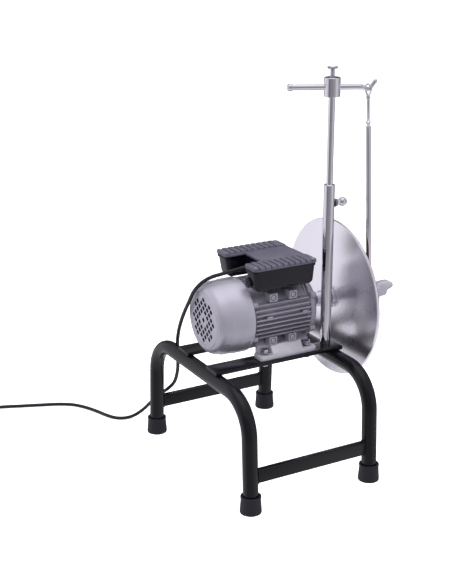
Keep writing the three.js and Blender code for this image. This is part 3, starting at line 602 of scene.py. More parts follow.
def arch_line(node):
    """The bent tube's middle line: leg, bend and half the level top, then their mirror image."""
    low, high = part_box(node)
    y = (low.y + high.y) / 2
    top = high.z - TUBE_R
    centre_z = top - ARCH_BEND_R
    foot_x = abs(middle("foot_cap_front_left").x) + 20 * MM * math.tan(ARCH_SPLAY)
    centre_x = foot_x - (ARCH_BEND_R + centre_z * math.sin(ARCH_SPLAY)) / math.cos(ARCH_SPLAY)
    start_x = centre_x + ARCH_BEND_R * math.cos(ARCH_SPLAY)
    start_z = centre_z + ARCH_BEND_R * math.sin(ARCH_SPLAY)
    leg = (start_z - low.z) / math.cos(ARCH_SPLAY)
    half = []
    for k in range(8):
        up = leg * (1 - k / 8)
        half.append(Vector((start_x + up * math.sin(ARCH_SPLAY), y,
                            start_z - up * math.cos(ARCH_SPLAY))))
    for k in range(25):
        a = ARCH_SPLAY + (math.pi / 2 - ARCH_SPLAY) * k / 24
        half.append(Vector((centre_x + ARCH_BEND_R * math.cos(a), y,
                            centre_z + ARCH_BEND_R * math.sin(a))))
    for k in range(1, 5):
        half.append(Vector((centre_x * (1 - k / 4), y, top)))
    other = [Vector((-p.x, p.y, p.z)) for p in half[-2::-1]]
    return half + other


def add_arches():
    for end in ("front", "rear"):
        arch = tube(f"{end}_bent_tube", arch_line(f"{end}_arch"), TUBE_R, 40)
        done(arch, "stand", "black_paint", f"{end}_arch")


def line_weld_into(bm, start, end, size=1.5 * MM):
    start, end = Vector(start), Vector(end)
    steps = max(6, int((end - start).length / (0.9 * MM)))
    points = [start.lerp(end, k / steps) for k in range(steps + 1)]
    radii = [size * (1 + 0.2 * math.sin(k * 1.7)) for k in range(steps + 1)]
    tube_into(bm, points, radii, 8, round_ends=True)


def add_rails():
    hole_r = 4.4 * MM
    for side in ("left", "right"):
        low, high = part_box(f"{side}_top_rail")
        bolts = [middle(f"foot_bolt_{end}_{side}") for end in ("front", "rear")]
        bar = plate(f"{side}_flat_bar", rectangle(low.x, high.x, low.y, high.y, 1.5 * MM, 3), low.z,
                    high.z, "Z", [circle(b.x, b.y, hole_r) for b in bolts], 0.7 * MM)
        done(bar, "stand", "black_paint", f"{side}_top_rail")

        low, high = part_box(f"{side}_lower_rail")
        reach = 1.2 * MM
        tie = plate(f"{side}_tie_bar", rectangle(low.x, high.x, low.z, high.z, 2.2 * MM, 4),
                    low.y - reach, high.y + reach, "Y", (), 0.3 * MM)
        done(tie, "stand", "black_paint", f"{side}_lower_rail")

    bm = bmesh.new()
    for side in ("left", "right"):
        low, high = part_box(f"{side}_top_rail")
        for arch in ("front_arch", "rear_arch"):
            y = middle(arch).y
            for offset in (-5.5, 5.5):
                line_weld_into(bm, (low.x + 2 * MM, y + offset * MM, low.z - 0.6 * MM),
                               (high.x - 2 * MM, y + offset * MM, low.z - 0.6 * MM))
        low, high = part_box(f"{side}_lower_rail")
        for y in (low.y - 0.4 * MM, high.y + 0.4 * MM):
            for x in (low.x, high.x):
                line_weld_into(bm, (x, y, low.z + 2 * MM), (x, y, high.z - 2 * MM), 1.3 * MM)
            for z in (low.z, high.z):
                line_weld_into(bm, (low.x + 1 * MM, y, z), (high.x - 1 * MM, y, z), 1.3 * MM)
    done(obj_from("weld_beads", bm, 60), "stand", "black_paint")


def add_foot_caps():
    for end in ("front", "rear"):
        for side in ("left", "right"):
            node = f"foot_cap_{end}_{side}"
            low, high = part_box(node)
            at = Vector((middle(node).x, middle(node).y, low.z))
            r = (high.y - low.y) / 2
            top = high.z - low.z
            profile = [(0, 1.2 * MM), (r - 5 * MM, 1.2 * MM), (r - 5.5 * MM, 0), (r - 0.4 * MM, 0),
                       (r, 2.5 * MM), (r - 1.9 * MM, top - 4.5 * MM), (r - 1.1 * MM, top - 3.8 * MM),
                       (r - 1.2 * MM, top - 0.6 * MM), (r - 2.2 * MM, top), (TUBE_R + 0.9 * MM, top),
                       (TUBE_R + 0.4 * MM, top - 1.5 * MM), (TUBE_R + 0.4 * MM, 10 * MM), (0, 10 * MM)]
            cap = turned(f"rubber_foot_{end}_{side}", profile, at, (0, 0, 1), 56, edge=0.7 * MM)
            done(cap, "stand", "rubber", node)


# ---------------------------------------------------------------- motor
BARREL_R = 58 * MM
FIN_TIP = 67 * MM
FIN_PITCH = 8.6 * MM
TIE_ANGLES = [math.radians(a) for a in (30, 150, 210, 330)]


def fin_into(bm, across, sign, offset, front, rear):
    """One cooling fin, thinner and shorter at its tip than at its root."""
    root = math.sqrt(BARREL_R ** 2 - offset ** 2) - 3 * MM
    tip = math.sqrt(FIN_TIP ** 2 - offset ** 2)
    shape = [(root, 1.9), (tip - 0.8 * MM, 1.15), (tip, 0.45)]
    rings = []
    for y in (front, rear):
        ring = []
        inward = 1 if y == front else -1
        for reach, half in shape:
            shift = inward * (reach - root) * 0.12
            ring.append((reach, half * MM, y + shift))
        for reach, half in reversed(shape):
            shift = inward * (reach - root) * 0.12
            ring.append((reach, -half * MM, y + shift))
        rings.append([bm.verts.new(
            (sign * r, y2, SHAFT.z + offset + h) if across else (offset + h, y2, SHAFT.z + sign * r))
            for r, h, y2 in ring])
    a, b = rings
    count = len(a)
    for k in range(count):
        n = (k + 1) % count
        bm.faces.new((a[k], a[n], b[n], b[k]))
    bm.faces.new(a)
    bm.faces.new(b)


def add_housing():
    low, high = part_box("motor_housing")
    at = Vector((0, low.y, SHAFT.z))
    length = high.y - low.y
    inner = 50 * MM
    profile = [(inner, 0), (BARREL_R + 1.5 * MM, 0), (BARREL_R + 1.5 * MM, 4 * MM), (BARREL_R, 6 * MM),
               (BARREL_R, length - 6 * MM), (BARREL_R + 1.5 * MM, length - 4 * MM),
               (BARREL_R + 1.5 * MM, length), (inner, length)]
    barrel = turned("barrel", profile, at, (0, 1, 0), 96, closed=True, edge=0.6 * MM)

    bm = bmesh.new()
    for across, count in ((True, 8), (False, 5)):
        for sign in (-1, 1):
            for i in range(count):
                offset = (i - (count - 1) / 2) * FIN_PITCH
                fin_into(bm, across, sign, offset, low.y + 1 * MM, high.y - 1 * MM)
    fins = obj_from("fins", bm, 40)
    lugs = bmesh.new()
    ears_into(lugs, high.y - 9 * MM, high.y)

    parts = [barrel, fins, obj_from("rear_ears", lugs)]
    bolt_ys = [middle("foot_bolt_front_left").y + 32 * MM, middle("foot_bolt_rear_left").y - 17 * MM]
    screws = bmesh.new()
    for side in (-1, 1):
        for up in (-1, 1):
            for y in bolt_ys:
                x_face = side * 59 * MM
                z = SHAFT.z + up * 41 * MM
                x_in = side * 41 * MM
                body = block("pad", (min(x_in, x_face - side * 3 * MM), y - 8.4 * MM, z - 7.8 * MM),
                             (max(x_in, x_face - side * 3 * MM), y + 8.4 * MM, z + 7.8 * MM), 0.8 * MM)
                low_x, high_x = sorted((x_face, x_face - side * 3.4 * MM))
                face = plate("pad_face", rectangle(y - 8.4 * MM, y + 8.4 * MM, z - 7.8 * MM,
                                                   z + 7.8 * MM, 1.6 * MM), low_x, high_x, "X",
                             [circle(y, z, 5.4 * MM, 36)], 0.6 * MM)
                parts += [body, face]
                screw = mm([(0, 0.3), (1.9, 0.3), (2.0, 2.5), (3.4, 2.5), (3.8, 2.1), (3.8, -0.2),
                            (0, -0.2)])
                turned_into(screws, screw, (x_face - side * 3 * MM, y, z), (side, 0, 0), 28)
        for y in (FRONT_Y + 66 * MM, FRONT_Y + 141 * MM):
            x_low, x_high = sorted((side * 60 * MM, side * 66.4 * MM))
            parts.append(block("boss", (x_low, y - 6 * MM, SHAFT.z + 3.4 * MM),
                               (x_high, y + 6 * MM, SHAFT.z + 9.4 * MM), 1.6 * MM, 3))
    done(joined("finned_housing", parts), "stand", "cast_grey", "motor_housing")
    done(obj_from("pad_screws", screws), "stand", "zinc_steel")


def ears_into(bm, y0, y1):
    for angle in TIE_ANGLES:
        at = Vector((64 * MM * math.cos(angle), y0, SHAFT.z + 64 * MM * math.sin(angle)))
        reach = y1 - y0
        profile = [(0, 0), (5.4 * MM, 0), (6.0 * MM, 0.7 * MM), (6.0 * MM, reach - 0.7 * MM),
                   (5.4 * MM, reach), (0, reach)]
        turned_into(bm, profile, at, (0, 1, 0), 28)


def add_end_shields():
    low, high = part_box("front_end_shield")
    at = Vector((0, FRONT_Y, SHAFT.z))
    edge_y = high.y - FRONT_Y
    front = [(8.4, 18), (26, 18), (31, 21), (34, 27), (52, 34), (60.5, 40), (63.5, 43.5)]
    profile = mm(front) + [(63.5 * MM, edge_y), (56 * MM, edge_y)]
    profile += mm([(48, 40), (24, 37.6), (17.8, 37.6), (17.8, 25.7), (8.4, 25.7)])
    shell = turned("front_shell", profile, at, (0, 1, 0), 96, closed=True, edge=1.2 * MM)
    bm = bmesh.new()
    ears_into(bm, high.y - 11 * MM, high.y)
    for k in range(6):
        a = math.pi / 6 + k * math.pi / 3
        rib = [(33, 24.5), (52, 33.4), (58, 38), (58, 42), (33, 34)]
        verts = []
        for side in (-1.2 * MM, 1.2 * MM):
            verts.append([bm.verts.new(Vector((r * MM * math.cos(a) - side * math.sin(a),
                                               FRONT_Y + y * MM,
                                               SHAFT.z + r * MM * math.sin(a) + side * math.cos(a))))
                          for r, y in rib])
        one, two = verts
        for i in range(len(rib)):
            n = (i + 1) % len(rib)
            bm.faces.new((one[i], one[n], two[n], two[i]))
        bm.faces.new(one)
        bm.faces.new(two)
    ears = obj_from("front_ears", bm)
    done(joined("front_shield_casting", [shell, ears]), "stand", "cast_grey", "front_end_shield")

    low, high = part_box("rear_end_shield")
    inner = low.y - FRONT_Y
    rear = [(56 * MM, inner), (63.5 * MM, inner), (63.5 * MM, inner + 6 * MM),
            (54 * MM, inner + 8 * MM), (28 * MM, 184 * MM), (24 * MM, 193 * MM), (8.4 * MM, 193 * MM),
            (8.4 * MM, 189.3 * MM), (17.8 * MM, 189.3 * MM), (17.8 * MM, 177.6 * MM),
            (26 * MM, 177.6 * MM), (50 * MM, inner + 3 * MM)]
    done(turned("rear_shield_casting", rear, at, (0, 1, 0), 72, closed=True, edge=0.8 * MM),
         "stand", "cast_grey", "rear_end_shield")


VENT_R = 5.6 * MM
VENT_STEP = (7.25 * MM, 7.6 * MM)
VENT_FIELD = 38.5 * MM
VENT_BLANK = 12 * MM


def vent(x, z):
    """A four-sided vent hole with soft corners, standing on one corner."""
    return rounded([(x, z + VENT_R), (x - VENT_R * 0.94, z), (x, z - VENT_R), (x + VENT_R * 0.94, z)],
                   0.6 * MM, 3)


def vent_holes():
    holes = [vent(0, SHAFT.z)]
    reach = math.ceil(VENT_FIELD / VENT_STEP[0])
    for i in range(-reach, reach + 1):
        for j in range(-reach, reach + 1):
            x, z = i * VENT_STEP[0], j * VENT_STEP[1]
            if (i + j) % 2 and VENT_BLANK <= math.hypot(x, z) <= VENT_FIELD:
                holes.append(vent(x, SHAFT.z + z))
    return holes


def add_fan_cover():
    low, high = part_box("fan_cover")
    r = (high.z - low.z) / 2
    wall = 1.6 * MM
    face = 46 * MM
    depth = high.y - low.y
    steps = [(0.6, 0), (0, 0.8), (0, 26), (1.1, 28), (1.3, 45), (2.2, 47.5), (3.3, 52), (4.9, 58.5),
             (7.4, 63.6), (10.8, 67), (13.8, 68.9), (15.6, 69.5)]
    outer = [(r - inset * MM, y * MM) for inset, y in steps]
    outer += [(r - 16.3 * MM, depth - 0.9 * MM), (r - 17 * MM, depth - 0.05 * MM), (face, depth)]
    steps = [(18, 68.3), (13.2, 65.6), (9.6, 62.2), (7.2, 57.6), (5.4, 50), (3.8, 44), (3.2, 30),
             (1.8, 24), (1.6, 0)]
    inner = [(face, depth - wall)] + [(r - inset * MM, y * MM) for inset, y in steps]
    cup = turned("cup", outer + inner, (0, low.y, SHAFT.z), (0, 1, 0), 128, closed=True, sharp=30)
    grille = plate("grille", circle(0, SHAFT.z, face + 0.02 * MM, 128), high.y - 0.9 * MM, high.y, "Y",
                   vent_holes(), 0.12 * MM)
    done(joined("perforated_cover", [cup, grille], 30), "stand", "cover_grey", "fan_cover")

    screws = bmesh.new()
    for angle in (math.radians(90), math.radians(210), math.radians(330)):
        out = Vector((math.cos(angle), 0, math.sin(angle)))
        at = Vector((0, low.y + 6 * MM, SHAFT.z)) + out * (r - 1.2 * MM)
        profile = mm([(0, 3.0), (1.0, 2.2), (2.6, 2.6), (3.6, 1.6), (3.8, 0.2), (0, 0)])
        turned_into(screws, profile, at, out, 24)
    done(obj_from("cover_screws", screws), "stand", "zinc_steel")


def add_motor_feet():
    for side, sign in (("left", -1), ("right", 1)):
        low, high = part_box(f"motor_foot_{side}")
        bolts = [middle(f"foot_bolt_{end}_{side}") for end in ("front", "rear")]
        slab_top = low.z + 8.4 * MM
        x_in, x_out = sorted((sign * (abs(bolts[0].x) - 15 * MM), sign * (abs(bolts[0].x) + 14.5 * MM)))
        slab = plate("slab", rectangle(x_in, x_out, low.y, high.y, 6 * MM), low.z, slab_top, "Z",
                     [circle(b.x, b.y, 4.6 * MM) for b in bolts], 1.0 * MM)
        shape = [(38, slab_top / MM - 1), (68.5, slab_top / MM - 1), (67.5, slab_top / MM + 1.5),
                 (57, high.z / MM), (38, high.z / MM)]
        wedge = plate("wedge", rounded([(sign * x * MM, z * MM) for x, z in shape], 1.2 * MM, 3),
                      bolts[0].y + 14 * MM, bolts[1].y - 12 * MM, "Y", (), 0.8 * MM)
        web = [(36, slab_top / MM - 2), (50, slab_top / MM - 2), (47, slab_top / MM + 12),
               (36, slab_top / MM + 20)]
        gusset = plate("gusset", rounded([(sign * x * MM, z * MM) for x, z in web], 1.2 * MM, 3),
                       bolts[0].y - 8 * MM, bolts[1].y + 8 * MM, "Y", (), 0.8 * MM)
        done(joined(f"foot_casting_{side}", [slab, wedge, gusset]), "stand", "pale_casting",
             f"motor_foot_{side}")

        for end, bolt in zip(("front", "rear"), bolts):
            node = f"foot_bolt_{end}_{side}"
            b_low, b_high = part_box(node)
            bm = bmesh.new()
            x, y = bolt.x, bolt.y
            turned_into(bm, [(0, 0), (4 * MM, 0), (4 * MM, b_high.z - b_low.z - 5 * MM),
                             (0, b_high.z - b_low.z - 5 * MM)], (x, y, b_low.z), (0, 0, 1), 24)
            washer_z = b_high.z - 6.9 * MM
            turned_into(bm, mm([(4.2, 0), (7.7, 0), (8, 0.4), (7.7, 1.5), (4.2, 1.5)]),
                        (x, y, washer_z), (0, 0, 1), 40, True)
            turned_into(bm, mm([(4.1, 0), (6.6, 0), (6.6, 1.3), (4.1, 1.3)]),
                        (x, y, washer_z + 1.5 * MM), (0, 0, 1), 32, True)
            hex_into(bm, (x, y, washer_z + 2.8 * MM), (0, 0, 1), 13 * MM, 0,
                     b_high.z - washer_z - 2.8 * MM)
            done(obj_from(f"hex_bolt_{end}_{side}", bm), "stand", "zinc_steel", node)
    nuts = bmesh.new()
    for side in ("left", "right"):
        rail_low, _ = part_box(f"{side}_top_rail")
        for end in ("front", "rear"):
            bolt = middle(f"foot_bolt_{end}_{side}")
            hex_into(nuts, (bolt.x, bolt.y, rail_low.z - 7 * MM), (0, 0, 1), 13 * MM, 0, 6.4 * MM,
                     4.05 * MM)
    done(obj_from("rail_nuts", nuts), "stand", "zinc_steel")


# ---------------------------------------------------------------- terminal box
LOBE_IN = 33 * MM
LOBE_OUT = 70 * MM
TUB_CORNER = 9 * MM
TUB_BASE = 9 * MM


def tub(name, low, high, outward):
    """A moulded box: rounded upright corners and bottom edges, drawn in towards its bottom."""
    bm = bmesh.new()
    block_into(bm, low, high)
    upright = [e for e in bm.edges if abs(e.verts[0].co.z - e.verts[1].co.z) > 1 * MM]
    bmesh.ops.bevel(bm, geom=upright, offset=TUB_CORNER, segments=6, profile=0.5, affect="EDGES")
    bottom = [e for e in bm.edges if all(v.co.z < low[2] + 0.01 * MM for v in e.verts)
              and any(abs(f.normal.z) < 0.5 for f in e.link_faces)]
    bmesh.ops.bevel(bm, geom=bottom, offset=TUB_BASE, segments=7, profile=0.5, affect="EDGES")
    centre = [(low[k] + high[k]) / 2 for k in range(2)]
    for v in bm.verts:
        depth = (high[2] - v.co.z) / (high[2] - low[2])
        towards_rear = max(0, (v.co.y - centre[1]) / (high[1] - centre[1]))
        towards_front = max(0, (centre[1] - v.co.y) / (centre[1] - low[1]))
        outside = max(0, (v.co.x - centre[0]) * outward / (high[0] - centre[0]))
        v.co.y += depth * (3 * MM * towards_front - 7 * MM * towards_rear)
        v.co.x -= depth * outside * outward * 2.5 * MM
    return obj_from(name, bm, 50)


def add_terminal_box():
    low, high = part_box("capacitor_box")
    bridge_rear = middle("cable_gland").y - 13.5 * MM
    bridge_low = SHAFT.z + 67.6 * MM
    shell = []
    for sign in (-1, 1):
        x0, x1 = sorted((sign * LOBE_IN, sign * LOBE_OUT))
        shell.append(tub("lobe", (x0, low.y, low.z), (x1, high.y, high.z), sign))
        rim = rectangle(x0, x1 + 0.6 * MM if sign > 0 else x1, low.y - 0.7 * MM, high.y + 0.7 * MM,
                        8 * MM, 6)
        shell.append(plate("rim", rim, high.z - 5 * MM, high.z - 1.2 * MM, "Z", (), 0.7 * MM))
    shell.append(block("bridge", (-LOBE_IN - 4 * MM, low.y + 1 * MM, bridge_low),
                       (LOBE_IN + 4 * MM, bridge_rear, high.z), 1.5 * MM))
    collar = turned("collar", mm([(7.2, -1), (11, -1), (11, 2.2), (10, 3), (7.2, 3)]),
                    (0, bridge_rear - 1 * MM, middle("cable_gland").z), (0, 1, 0), 40, closed=True,
                    edge=0.4 * MM)
    shell.append(collar)
    done(joined("capacitor_case", shell), "stand", "black_plastic", "capacitor_box")

    plug_at = (-LOBE_IN - 10 * MM, high.y - 8 * MM, low.z + 14 * MM)
    bm = bmesh.new()
    hex_into(bm, plug_at, (0, 1, 0), 17 * MM, 0, 7 * MM)
    turned_into(bm, mm([(0, 6.5), (6.2, 6.5), (6.2, 7.4), (5.4, 7.9), (3.6, 7.9), (3.2, 7.2),
                        (0, 7.2)]), plug_at, (0, 1, 0), 32)
    done(obj_from("blanking_plug", bm), "stand", "black_plastic")


RIB_COUNT = 9
RIB_MARGIN = 11 * MM  # plain lid at each end of a lobe


def rib_into(bm, section, y, half):
    """A rib across the lid: an X,Z section, narrower at its crest, closed at both Y faces."""
    rings = []
    for side, draw in ((-1, 1.0), (-1, 0.0), (1, 0.0), (1, 1.0)):
        ring = []
        for k, (x, z) in enumerate(section):
            crest = 0 < k < len(section) - 1
            drop = 0.5 * MM * draw if crest else 0
            ring.append(bm.verts.new((x, y + side * (half - 0.6 * MM * (1 - draw)), z - drop)))
        rings.append(ring)
    count = len(section)
    for first, second in zip(rings, rings[1:]):
        for k in range(count):
            n = (k + 1) % count
            bm.faces.new((first[k], first[n], second[n], second[k]))
    bm.faces.new(rings[0])
    bm.faces.new(rings[-1])


def add_box_lid():
    low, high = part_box("box_lid")
    seat = low.z
    top = high.z - 1.3 * MM
    bridge_rear = middle("cable_gland").y - 12.5 * MM
    skirt = []
    for sign in (-1, 1):
        x0, x1 = sorted((sign * (LOBE_IN - 0.5 * MM), sign * (LOBE_OUT - 0.9 * MM)))
        skirt.append(plate("cap", rectangle(x0, x1, low.y + 1 * MM, high.y - 1 * MM, 7 * MM, 6),
                           seat + 1 * MM, top - 2.3 * MM, "Z", (), 1.8 * MM))
        x0, x1 = sorted((sign * (LOBE_IN - 0.5 * MM), sign * (LOBE_OUT + 1.5 * MM)))
        skirt.append(plate("lip", rectangle(x0, x1, low.y, high.y, 8 * MM, 6), seat, seat + 2.2 * MM,
                           "Z", (), 0.7 * MM))
        x0, x1 = sorted((sign * (LOBE_IN + 0.4 * MM), sign * (LOBE_OUT + 0.9 * MM)))
        for y0, y1 in ((low.y + 0.6 * MM, low.y + RIB_MARGIN + 0.5 * MM),
                       (high.y - RIB_MARGIN - 0.5 * MM, high.y - 0.6 * MM)):
            skirt.append(plate("end_pad", rectangle(x0, x1, y0, y1, 5 * MM, 6), seat + 1 * MM,
                               high.z - 0.7 * MM, "Z", (), 1.8 * MM))
    bridge = plate("bridge", rectangle(-LOBE_IN - 3 * MM, LOBE_IN + 3 * MM, low.y + 0.6 * MM,
                                       bridge_rear, 1.5 * MM), seat, top - 1.4 * MM, "Z", (), 1.2 * MM)
    ribs = bmesh.new()
    span = high.y - low.y - 2 * RIB_MARGIN
    pitch = span / RIB_COUNT
    for sign in (-1, 1):
        x_in = sign * (LOBE_IN + 1.6 * MM)
        x_out = sign * (LOBE_OUT + 1.3 * MM)
        section = [(x_in, seat + 4 * MM), (x_in, top - 0.6 * MM), (x_in + sign * 1.4 * MM, high.z),
                   (x_out - sign * 2.6 * MM, high.z), (x_out - sign * 0.7 * MM, high.z - 1.4 * MM),
                   (x_out, high.z - 3.4 * MM), (x_out, seat + 1.4 * MM)]
        for k in range(RIB_COUNT):
            y = low.y + RIB_MARGIN + pitch * (k + 0.5)
            rib_into(ribs, section, y, pitch * 0.37)
    rib_piece = obj_from("ribs", ribs, 30)
    done(joined("ribbed_lid", [*skirt, bridge, rib_piece]), "stand", "lid_plastic", "box_lid")

    screws = bmesh.new()
    for sign in (-1, 1):
        for y in (low.y + 6.4 * MM, high.y - 6.4 * MM):
            x = sign * (LOBE_OUT - 5.5 * MM)
            profile = mm([(0, 1.5), (0.9, 0.7), (2.5, 1.3), (3.4, 0.4), (3.4, -1.5), (0, -1.5)])
            turned_into(screws, profile, (x, y, high.z - 1.6 * MM), (0, 0, 1), 24)
    done(obj_from("lid_screws", screws), "stand", "zinc_steel")


def add_gland():
    low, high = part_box("cable_gland")
    start = Vector((0, low.y, middle("cable_gland").z))
    length = high.y - low.y
    bore = CORD_R + 0.1 * MM
    profile = [(bore, 0), (6.8 * MM, 0), (6.8 * MM, 5.6 * MM), (9 * MM, 5.6 * MM), (9 * MM, 10.5 * MM),
               (7.6 * MM, 12.5 * MM), (6.4 * MM, 13.6 * MM)]
    grooves = 6
    for k in range(grooves):
        y = 14.5 * MM + (length - 16 * MM) * k / grooves
        r = 6.2 * MM - (6.2 * MM - 4.7 * MM) * k / grooves
        pitch = (length - 16 * MM) / grooves
        profile += [(r, y), (r, y + pitch * 0.55), (r - 0.8 * MM, y + pitch * 0.65),
                    (r - 0.8 * MM, y + pitch * 0.9)]
    profile += [(4.6 * MM, length), (bore, length)]
    relief = turned("strain_relief", profile, start, (0, 1, 0), 32, closed=True, edge=0.3 * MM)
    done(relief, "stand", "cord_black", "cable_gland")
    nut = bmesh.new()
    hex_into(nut, (0, start.y + 5.8 * MM, start.z), (0, 1, 0), 19 * MM, 0, 5 * MM, 6.9 * MM)
    done(obj_from("gland_nut", nut), "stand", "black_plastic")


# ---------------------------------------------------------------- disc and hub
def add_disc():
    low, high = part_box("grinding_disc")
    r = (high.z - low.z) / 2
    thick = high.y - low.y
    at = Vector((0, low.y, SHAFT.z))
    profile = [(7.3 * MM, 3 * MM), (16 * MM, 3 * MM), (16 * MM, 0), (r - 0.8 * MM, 0), (r, 0.8 * MM),
               (r, thick - 1.0 * MM), (r - 1.0 * MM, thick), (7.3 * MM, thick)]
    disc = turned("polished_disc", profile, at, (0, 1, 0), 192, closed=True, sharp=25)
    done(disc, "rotor", "turned_aluminium", "grinding_disc")

    low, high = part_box("disc_hub")
    length = high.y - low.y
    hub = [(7.3, 0), (20.1, 0), (20.5, 0.4), (20.5, 6.4), (19.8, 7.2), (15.4, 8.2), (14.4, 9.6),
           (14, length / MM - 0.8), (13.2, length / MM), (7.3, length / MM)]
    piece = turned("flanged_hub", mm(hub), (0, low.y, SHAFT.z), (0, 1, 0), 72,
                   closed=True, edge=0.3 * MM)
    done(piece, "rotor", "turned_aluminium", "disc_hub")
    screws = bmesh.new()
    for k in range(2):
        a = math.pi * 0.5 + k * math.pi / 2
        out = Vector((math.cos(a), 0, math.sin(a)))
        turned_into(screws, mm([(0, -1.2), (1.6, -1.2), (1.8, 0.2), (3, 0.3), (3, -2), (0, -2)]),
                    Vector((0, high.y - 12 * MM, SHAFT.z)) + out * 14 * MM, out, 20)
    done(obj_from("hub_set_screws", screws), "rotor", "dark_steel")

    low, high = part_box("abrasive_sheet")
    r = (high.z - low.z) / 2
    sheet = turned("abrasive_paper", [(18 * MM, 0), (r - 0.4 * MM, 0), (r, 0.4 * MM),
                                      (r, high.y - low.y), (18 * MM, high.y - low.y)],
                   (0, low.y, SHAFT.z), (0, 1, 0), 160, closed=True)
    done(sheet, "rotor", "grit", "abrasive_sheet")
    low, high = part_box("disc_bolt")
    head = [(0, 2.0 * MM), (3.2 * MM, 2.0 * MM), (3.6 * MM, 0.2 * MM), (6 * MM, 0),
            (15.2 * MM, 1.6 * MM), (15.6 * MM, 2.4 * MM), (15.6 * MM, 3.6 * MM), (3.1 * MM, 3.6 * MM),
            (3.1 * MM, high.y - low.y), (0, high.y - low.y)]
    done(turned("disc_screw", head, (0, low.y, SHAFT.z), (0, 1, 0), 56, edge=0.25 * MM), "rotor",
         "zinc_steel", "disc_bolt")
    low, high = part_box("rotor_shaft")
    shaft = [(0, 20), (3.4, 20), (3.4, 3.4), (6.6, 3.4), (7, 3.9), (7, 57.5), (7.3, 57.5), (7.3, 77.5),
             (9.4, 79.5), (9.4, 211.5), (7.3, 213.5), (7.3, 231.5), (6, 232.5), (6, 250.9),
             (5.4, 251.5), (0, 251.5)]
    base = low.y - 3.4 * MM
    done(turned("motor_shaft", mm(shaft), (0, base, SHAFT.z), (0, 1, 0), 40),
         "rotor", "zinc_steel", "rotor_shaft")


# ---------------------------------------------------------------- post, head and crossbar
def add_post():
    low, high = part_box("post_tube")
    r = (high.y - low.y) / 2
    at = Vector((POST.x, POST.y, low.z))
    length = high.z - low.z
    profile = [(6.3 * MM, 0), (r, 0), (r, length - 1.2 * MM), (r - 1.2 * MM, length),
               (6.8 * MM, length), (6.3 * MM, length - 0.6 * MM)]
    done(turned("post_sleeve", profile, at, (0, 0, 1), 64, closed=True, edge=0.4 * MM), "stand",
         "chrome", "post_tube")
    low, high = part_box("post_rod")
    rod_r = 5.8 * MM
    profile = [(0, 0), (rod_r - 0.8 * MM, 0), (rod_r, 0.8 * MM), (rod_r, high.z - low.z),
               (0, high.z - low.z)]
    done(turned("sliding_rod", profile, (POST.x, POST.y, low.z), (0, 0, 1), 48), "mast", "chrome",
         "post_rod")

    low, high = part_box("clamp_nut")
    at = Vector((POST.x, high.y, middle("clamp_nut").z))
    bm = bmesh.new()
    hex_into(bm, at, (0, -1, 0), 14 * MM, 0, high.y - low.y, 3.4 * MM)
    done(obj_from("jam_nut", bm), "stand", "dark_steel", "clamp_nut")
    low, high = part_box("height_clamp_screw")
    tip = Vector((POST.x, low.y, middle("height_clamp_screw").z))
    knob = [(0, 0)]
    ball = 8.4 * MM
    for k in range(1, 17):
        a = math.pi * 0.83 * k / 16
        knob.append((ball * math.sin(a), ball - ball * math.cos(a)))
    knob += [(4.2 * MM, 16.6 * MM), (4.0 * MM, 18 * MM), (6.4 * MM, 19.2 * MM), (6.6 * MM, 22.6 * MM),
             (3.0 * MM, 23.0 * MM), (3.0 * MM, high.y - low.y), (0, high.y - low.y)]
    done(turned("ball_knob", knob, tip, (0, 1, 0), 40), "height_clamp", "chrome", "height_clamp_screw")


def add_head():
    low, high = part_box("head_block")
    r = 14.5 * MM
    length = high.z - low.z
    block_piece = turned("head_cylinder", [(0, 0), (r - 0.9 * MM, 0), (r, 0.9 * MM),
                                           (r, length - 0.9 * MM), (r - 0.9 * MM, length), (0, length)],
                         (POST.x, POST.y, low.z), (0, 0, 1), 72)
    bore = turned("bore", mm([(0, -30), (5.5, -30), (5.5, 30), (0, 30)]), (POST.x, POST.y, BAR_Z),
                  BAR_DIRECTION, 48)
    mouths = []
    for way in (-1, 1):
        mouths.append(turned("mouth", mm([(0, 0), (5.5, 0), (7.4, 2.6), (7.4, 8), (0, 8)]),
                             Vector((POST.x, POST.y, BAR_Z)) + BAR_DIRECTION * way * 12 * MM,
                             BAR_DIRECTION * way, 48))
    top_bore = turned("top", mm([(0, 0), (4.3, 0), (4.3, 40), (0, 40)]), (POST.x, POST.y, BAR_Z),
                      (0, 0, 1), 32)
    rod_bore = turned("rod_bore", mm([(0, -20), (6.2, -20), (6.2, 10.3), (0, 10.3)]),
                      (POST.x, POST.y, low.z), (0, 0, 1), 40)
    carved(block_piece, bore, *mouths, top_bore, rod_bore)
    block_piece.name = "head_cylinder"
    done(block_piece, "head", "chrome", "head_block")


BAR_R = 5.1 * MM
HOOK_R = 3.6 * MM


